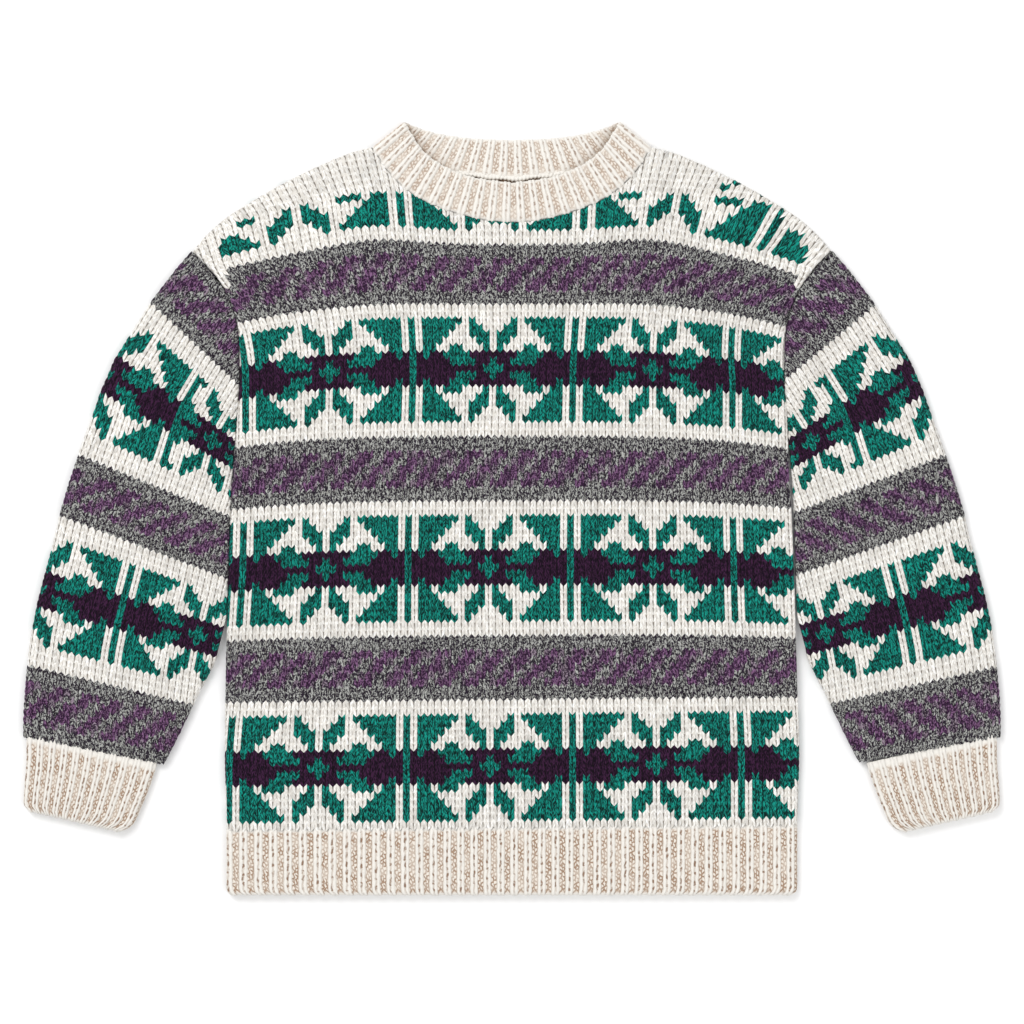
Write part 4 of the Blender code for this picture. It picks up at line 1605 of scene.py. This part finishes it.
@dataclass
class HemRib:
    """The rib at the bottom of the front or the back, with its top row sunk under the panel."""

    layer: Layer
    node: str
    ribs: int = 41
    rows: int = 9
    corner: float = 7.0
    drawn_in: float = 0.6
    under_panel: float = 2.2
    rib_top: float = 7.4
    sunk: float = 1.8
    sunk_rows: float = 0.8
    wall_gap: float = 0.35
    lip_turn: float = 0.5
    lip_bulge: float = 0.3
    top_tilt: float = 2.2
    flat_size: tuple[float, float] = (0.486, 0.058)
    wander: Curve = Curve([
        (0.0, 0.0), (7.0, 4.7), (14.0, 7.3), (21.0, 4.0), (28.0, 3.1), (35.0, 2.3), (41.0, 0.0),
    ])

    def build(self, material: bpy.types.Material) -> Built:
        """Knits the hem.

        Args:
            material: the rib finish.

        Returns:
            The hem, and no area, as its cut is a plain rectangle.
        """
        rib = Ribbing(self.ribs, self.rows)
        share_up = rib.up / self.rows
        y = HEM_BOTTOM + (HEM_TOP + self.under_panel - HEM_BOTTOM) * share_up
        drawn_in = self.drawn_in * self.corner * (1 - dropped(y - HEM_BOTTOM, self.corner))
        half_width = SIDE_SEAM(y) - drawn_in
        arc_width = half_width + roll_extra(WALL_MIDDLE)
        walked_out = ((2 * rib.across / self.ribs - 1) * arc_width + self.wander(rib.across)) * self.layer
        inset, lift = rolled(arc_width - np.abs(walked_out), WALL_MIDDLE)
        x = np.sign(walked_out) * (half_width - inset)
        y = y + self.top_tilt * share_up * x / half_width
        if self.layer is Layer.UPPER:
            sunk = self.sunk * np.clip(rib.up - self.rows + self.sunk_rows, 0, 1)
            z = WALL_MIDDLE + (self.rib_top - WALL_MIDDLE - sunk) * lift
        else:
            z = WALL_MIDDLE - (WALL_MIDDLE - RIB_LIES) * lift
        z = z + (WALL_MIDDLE + self.wall_gap * self.layer - z) * rib.turned_in(self.lip_turn)
        y = y + rib.reach_in(self.lip_bulge)
        base = np.stack([x, y, z], axis=-1)
        return rib.piece(f"{self.node}_ribbing", material, base, lift, weld=False), None


@dataclass
class Neckband:
    """The ribbed neckband: a ring laid flat, its front half over its back half, both faces knitted.

    The grid runs up the outer face, over the free edge and down the inner face. Heights and rises are in
    millimetres, the rises at the flat of the band. The free fade is the slope and the offset of the trim
    near the free edge. The inner relief is the front half's and then the back half's. The fold shade is
    the least shade and what the folds add to it. The paleness is the least trim anywhere.
    """

    front_ribs: int = 22
    back_ribs: int = 18
    rows: int = 5
    fold_radius: float = 4.3
    phase: float = 0.70
    outer_height: float = 5.05
    outer_rise: float = 3.25
    inner_rise: float = 1.1
    sewn_sink: float = 1.5
    back_sink: float = 0.45
    tuck: float = 0.035
    tooth: float = 0.03
    tooth_start: float = 0.3
    sewn_fade: float = 5.0
    free_fade: tuple[float, float] = (6.0, 5.2)
    over_edge: float = 1.012
    over_heights: tuple[float, float] = (0.72, 0.28)
    edge_relief: float = 0.5
    fold_relief: float = 0.35
    inner_relief: tuple[float, float] = (0.4, 0.8)
    shade_reach: float = 5.5
    fold_from: tuple[float, float] = (45.0, 80.0)
    fold_shade: tuple[float, float] = (0.15, 0.6)
    paleness: float = 0.38
    sewn_row: float = 9.0
    flat_size: tuple[float, float] = (0.520, 0.034)

    def build(self, material: bpy.types.Material) -> Built:
        """Knits the neckband.

        Args:
            material: the rib finish.

        Returns:
            The neckband, and no area, as its cut is a plain rectangle.
        """
        outer = Ribbing(self.front_ribs + self.back_ribs, self.rows, lip_rows=0)
        steps, columns = outer.up.shape
        rows_up = outer.up[:, 0]
        share_up = rows_up / self.rows
        over = [self.over_edge, self.over_edge]
        along = in_columns(np.concatenate([share_up, over, share_up[::-1], [0.0]]), columns)
        on_outer = np.concatenate([np.ones(steps), self.over_heights, np.zeros(steps), [1.0]])
        on_outer = in_columns(on_outer, columns)
        across = np.repeat(outer.across[:1], len(along), axis=0)
        around = (across - self.phase) % (self.front_ribs + self.back_ribs)
        front = around < self.front_ribs
        along_back = 1 - (around - self.front_ribs) / self.back_ribs
        share = np.clip(np.where(front, around / self.front_ribs, along_back), 0, 1)
        tucked = np.clip(1 - self.sewn_fade * along, 0, 1)
        at_edge = self.free_fade[0] * along - self.free_fade[1]
        trim = np.maximum(np.clip(np.maximum(tucked, at_edge), 0, 1), self.paleness)
        tooth = self.tooth * np.cos(math.tau * (across - self.tooth_start))
        along = along - (self.tuck + tooth) * (on_outer > 0.5) * front * tucked
        place, lift = self._place(front, share, along)
        outer_z = self.outer_height + self.outer_rise * lift - self.sewn_sink * tucked * front * lift
        inner_z = self.fold_radius + self.inner_rise * lift - self.back_sink * ~front * np.abs(lift)
        z = inner_z + (outer_z - inner_z) * on_outer
        bare = outer.relief()
        edge = bare[-1:] * self.edge_relief
        relief = np.concatenate([bare, edge, edge, bare[::-1], bare[:1]])
        inner_share = np.where(front, *self.inner_relief)
        relief = relief * np.clip(self.fold_relief + np.abs(lift), 0, 1)
        relief = relief * np.where(on_outer < 0.5, inner_share, 1.0)
        relief[[0, -1]] = 0.0
        rows_up = self.sewn_row - np.concatenate([rows_up, [self.rows] * 2, rows_up[::-1], [0.0]])
        stitch = np.stack([across, in_columns(rows_up, columns)], axis=-1)
        base = np.concatenate([place, z[..., None]], axis=-1)
        kept = np.ones((len(along) - 1, columns - 1), bool)
        lattice = Lattice(base, relief, stitch, kept, trim=trim, shade=self._shade(place, front))
        return lattice.build("neckband_ribbing", material, weld=True), None

    def _shade(self, place: np.ndarray, front: np.ndarray) -> np.ndarray:
        """Shades the back half where it lies near the front half's edge, most at the folds.

        Args:
            place: the places in plan.
            front: whether a place is on the front half.

        Returns:
            The shade, from 0 to 1.
        """
        outs = np.abs(place[..., 0])
        slope = FRONT_BAND_EDGE(outs + 0.5) - FRONT_BAND_EDGE(outs - 0.5)
        apart = np.clip((place[..., 1] - FRONT_BAND_EDGE(outs)) / np.hypot(1.0, slope), 0, None)
        start, full = self.fold_from
        least, more = self.fold_shade
        near_fold = least + more * np.clip((outs - start) / (full - start), 0, 1)
        return np.where(front, 0.0, near_fold * np.exp(-apart / self.shade_reach))

    def _place(
        self, front: np.ndarray, share: np.ndarray, along: np.ndarray
    ) -> tuple[np.ndarray, np.ndarray]:
        """Where the ring lies in plan, and which way up it is.

        Args:
            front: whether a place is on the front half.
            share: the share of the way along that half, from -X to +X.
            along: the share of the way from the sewn edge to the free edge.

        Returns:
            The places, and 1 on the front half, -1 on the back half and between them on the folds.
        """
        halves = []
        near = share < 0.5
        for curves in ((FRONT_NECKLINE, FRONT_BAND_EDGE), (BACK_NECKLINE, BACK_BAND_EDGE)):
            sewn, free = (WalkedLine.mirrored(curve) for curve in curves)
            mean = (sewn.length + free.length) / 2
            whole = mean + 2 * roll_extra(self.fold_radius)
            inset, lift = rolled(whole * np.where(near, share, 1 - share), self.fold_radius)
            part = np.where(near, inset, mean - inset) / mean
            start = sewn(part * sewn.length)
            place = start + (free(part * free.length) - start) * along[..., None]
            halves.append((place, lift))
        place = np.where(front[..., None], halves[0][0], halves[1][0])
        return place, np.where(front, halves[0][1], -halves[1][1])


@dataclass
class NeckSeam:
    """The back neck where the band was picked up: a ridge of stitches, and the back's inside below it.

    Each row of the profile is how far it lies below the band, its height and its place in the ribs. The
    strip below the ridge carries painted shade: from its shade attribute, and from rows placed on the rib
    finish's dashed line of painted shade.
    """

    stitches: int = 50
    reach: float = 80.0
    overlap: float = 1.5
    strip_height: float = 2.2
    ridge_depth: float = 1.1
    wander: float = 0.7
    wander_turns: float = 19.0
    stitch_slant: float = 0.12
    stitch_dip: float = 0.4
    shade_from: float = 2.6
    shade_to: tuple[float, float] = (6.0, 9.0)
    flat_size: tuple[float, float] = (0.162, 0.017)
    profile: tuple[tuple[float, float, float], ...] = (
        (13.0, 2.2, 0.30), (8.0, 2.2, 0.30), (4.4, 2.2, 0.30), (3.7, 2.6, 0.26), (3.0, 4.2, 0.10),
        (2.1, 5.0, 0.15), (0.9, 4.7, 0.12), (-0.4, 3.6, 0.06), (-1.4, 2.6, 0.04),
    )

    def build(self, material: bpy.types.Material) -> Built:
        """Knits the ridge and the strip below it.

        Args:
            material: the rib finish.

        Returns:
            The strip, and no area, as its cut is a plain rectangle.
        """
        fall, height, place = (np.array(column) for column in zip(*self.profile))
        turn, fall = np.meshgrid(np.linspace(-1, 1, self.stitches * 4 + 1), fall)
        x = turn * self.reach
        rounds = np.abs(np.sin(np.pi * (turn * self.stitches / 2 + self.stitch_slant * fall)))
        uneven = self.ridge_depth * rounds + self.wander * np.sin(turn * self.wander_turns)
        on_ridge = np.clip(fall / 3, 0, 1) * np.clip(6 - fall, 0, 1)
        y = BACK_NECKLINE(np.abs(x)) + self.overlap - fall - uneven * on_ridge
        round_share = 1 - self.stitch_dip + self.stitch_dip * rounds
        z = self.strip_height + (height[:, None] - self.strip_height) * round_share
        stitch = np.stack([in_columns(place, x.shape[1]), 3 + turn * self.stitches / 4], axis=-1)
        start, end = self.shade_to
        shade = np.clip(fall - self.shade_from, 0, 1) * np.clip((end - fall) / (end - start), 0, 1)
        kept = np.ones((x.shape[0] - 1, x.shape[1] - 1), bool)
        lattice = Lattice(np.stack([x, y, z], axis=-1), np.zeros_like(x), stitch, kept, shade=shade)
        return lattice.build("back_neck_seam", material, weld=False), None


@dataclass
class Studio:
    """A pale floor, soft lights and a camera that looks straight down on the sweater."""

    photo_width: float = 865.3
    look_at_y: float = -2.96
    distance: float = 3200.0
    cloth_height: float = 8.0
    room_light: float = 0.74
    floor_shade: float = 0.93
    floor_half: float = 6.0
    floor_roughness: float = 0.9
    floor_specular: float = 0.1

    def build(self) -> None:
        """Sets up the floor, the lights, the world and the camera."""
        self._floor()
        self._light("key", (-1.5, 1.8, 2.5), size=1.7, power=60.0)
        self._light("fill", (1.2, -1.0, 1.8), size=1.6, power=12.0)
        world = bpy.data.worlds.new("soft_room")
        world.use_nodes = True
        background = world.node_tree.nodes["Background"]
        background.inputs["Color"].default_value = WHITE
        background.inputs["Strength"].default_value = self.room_light
        bpy.context.scene.world = world
        bpy.context.scene.view_settings.view_transform = "Standard"
        self._camera()

    def _floor(self) -> None:
        """Lays a plain pale plane at height 0, which the cloth lies on."""
        bm = bmesh.new()
        bmesh.ops.create_grid(bm, x_segments=1, y_segments=1, size=self.floor_half)
        mesh = bpy.data.meshes.new("floor")
        bm.to_mesh(mesh)
        bm.free()
        sheet = NodeSheet("floor_paper")
        shade = self.floor_shade
        sheet.shader.inputs["Base Color"].default_value = (shade, shade, shade, 1.0)
        sheet.shader.inputs["Roughness"].default_value = self.floor_roughness
        sheet.shader.inputs["Specular IOR Level"].default_value = self.floor_specular
        mesh.materials.append(sheet.material)
        floor = bpy.data.objects.new("floor", mesh)
        bpy.context.scene.collection.objects.link(floor)

    def _light(self, name: str, place: tuple[float, float, float], size: float, power: float) -> None:
        """Adds a square soft light that faces the sweater.

        Args:
            name: the light's name.
            place: where it stands, in metres.
            size: its side in metres.
            power: its power in watts.
        """
        data = bpy.data.lights.new(name, "AREA")
        data.size, data.energy = size, power
        lamp = bpy.data.objects.new(name, data)
        lamp.location = place
        lamp.rotation_euler = (-lamp.location).to_track_quat("-Z", "Y").to_euler()
        bpy.context.scene.collection.objects.link(lamp)

    def _camera(self) -> None:
        """Adds the camera at the photograph's angle."""
        data = bpy.data.cameras.new("overhead")
        data.sensor_width = 36.0
        data.lens = data.sensor_width * self.distance / self.photo_width
        data.clip_end = 20.0
        camera = bpy.data.objects.new("overhead", data)
        camera.location = (0.0, self.look_at_y * MM, (self.distance + self.cloth_height) * MM)
        bpy.context.scene.collection.objects.link(camera)
        bpy.context.scene.camera = camera


class Sweater:
    """The whole sweater, piece by piece."""

    def __init__(self) -> None:
        """Makes the two finishes."""
        self.colourwork = ColourworkFinish().material()
        self.rib = RibFinish().material()

    def build(self) -> None:
        """Knits every piece and ties it to the frame."""
        for layer, node, neckline in (
            (Layer.UPPER, "front", FRONT_NECKLINE), (Layer.UNDER, "back", BACK_NECKLINE),
        ):
            panel = BodyPanel(layer, node, neckline)
            self._place(panel, node, self.colourwork, "fair_isle_wool")
            self._place(HemRib(layer, f"hem_{node}"), f"hem_{node}", self.rib, "rib_wool")
        for side, name in ((-1, "right"), (1, "left")):
            sleeve = Sleeve(side, f"sleeve_{name}")
            self._place(sleeve, sleeve.node, self.colourwork, "fair_isle_wool")
            self._place(Cuff(side, f"cuff_{name}"), f"cuff_{name}", self.rib, "rib_wool")
        self._place(Neckband(), "neckband", self.rib, "rib_wool")
        self._place(NeckSeam(), None, self.rib, "rib_wool")

    def _place(
        self, part: "BodyPanel | Sleeve | Cuff | HemRib | Neckband | NeckSeam", node: str | None,
        material: bpy.types.Material, slot: str,
    ) -> None:
        """Args:
            part: the piece's class.
            node: the solid that it stands for, if any.
            material: its finish.
            slot: not used.
        """
        piece, area = part.build(material)
        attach(piece, ROOT)
        if node is not None:
            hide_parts(node)
        faces = len(piece.data.polygons)
        LOG.info("%s: %d faces, cut %s, area %s", piece.name, faces, part.flat_size, area)


def main() -> None:
    """Dresses the sweater, lights it and notes both sizes."""
    logging.basicConfig(level=logging.INFO, format="%(message)s")
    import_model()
    Sweater().build()
    Studio().build()


if __name__ == "__main__":
    main()
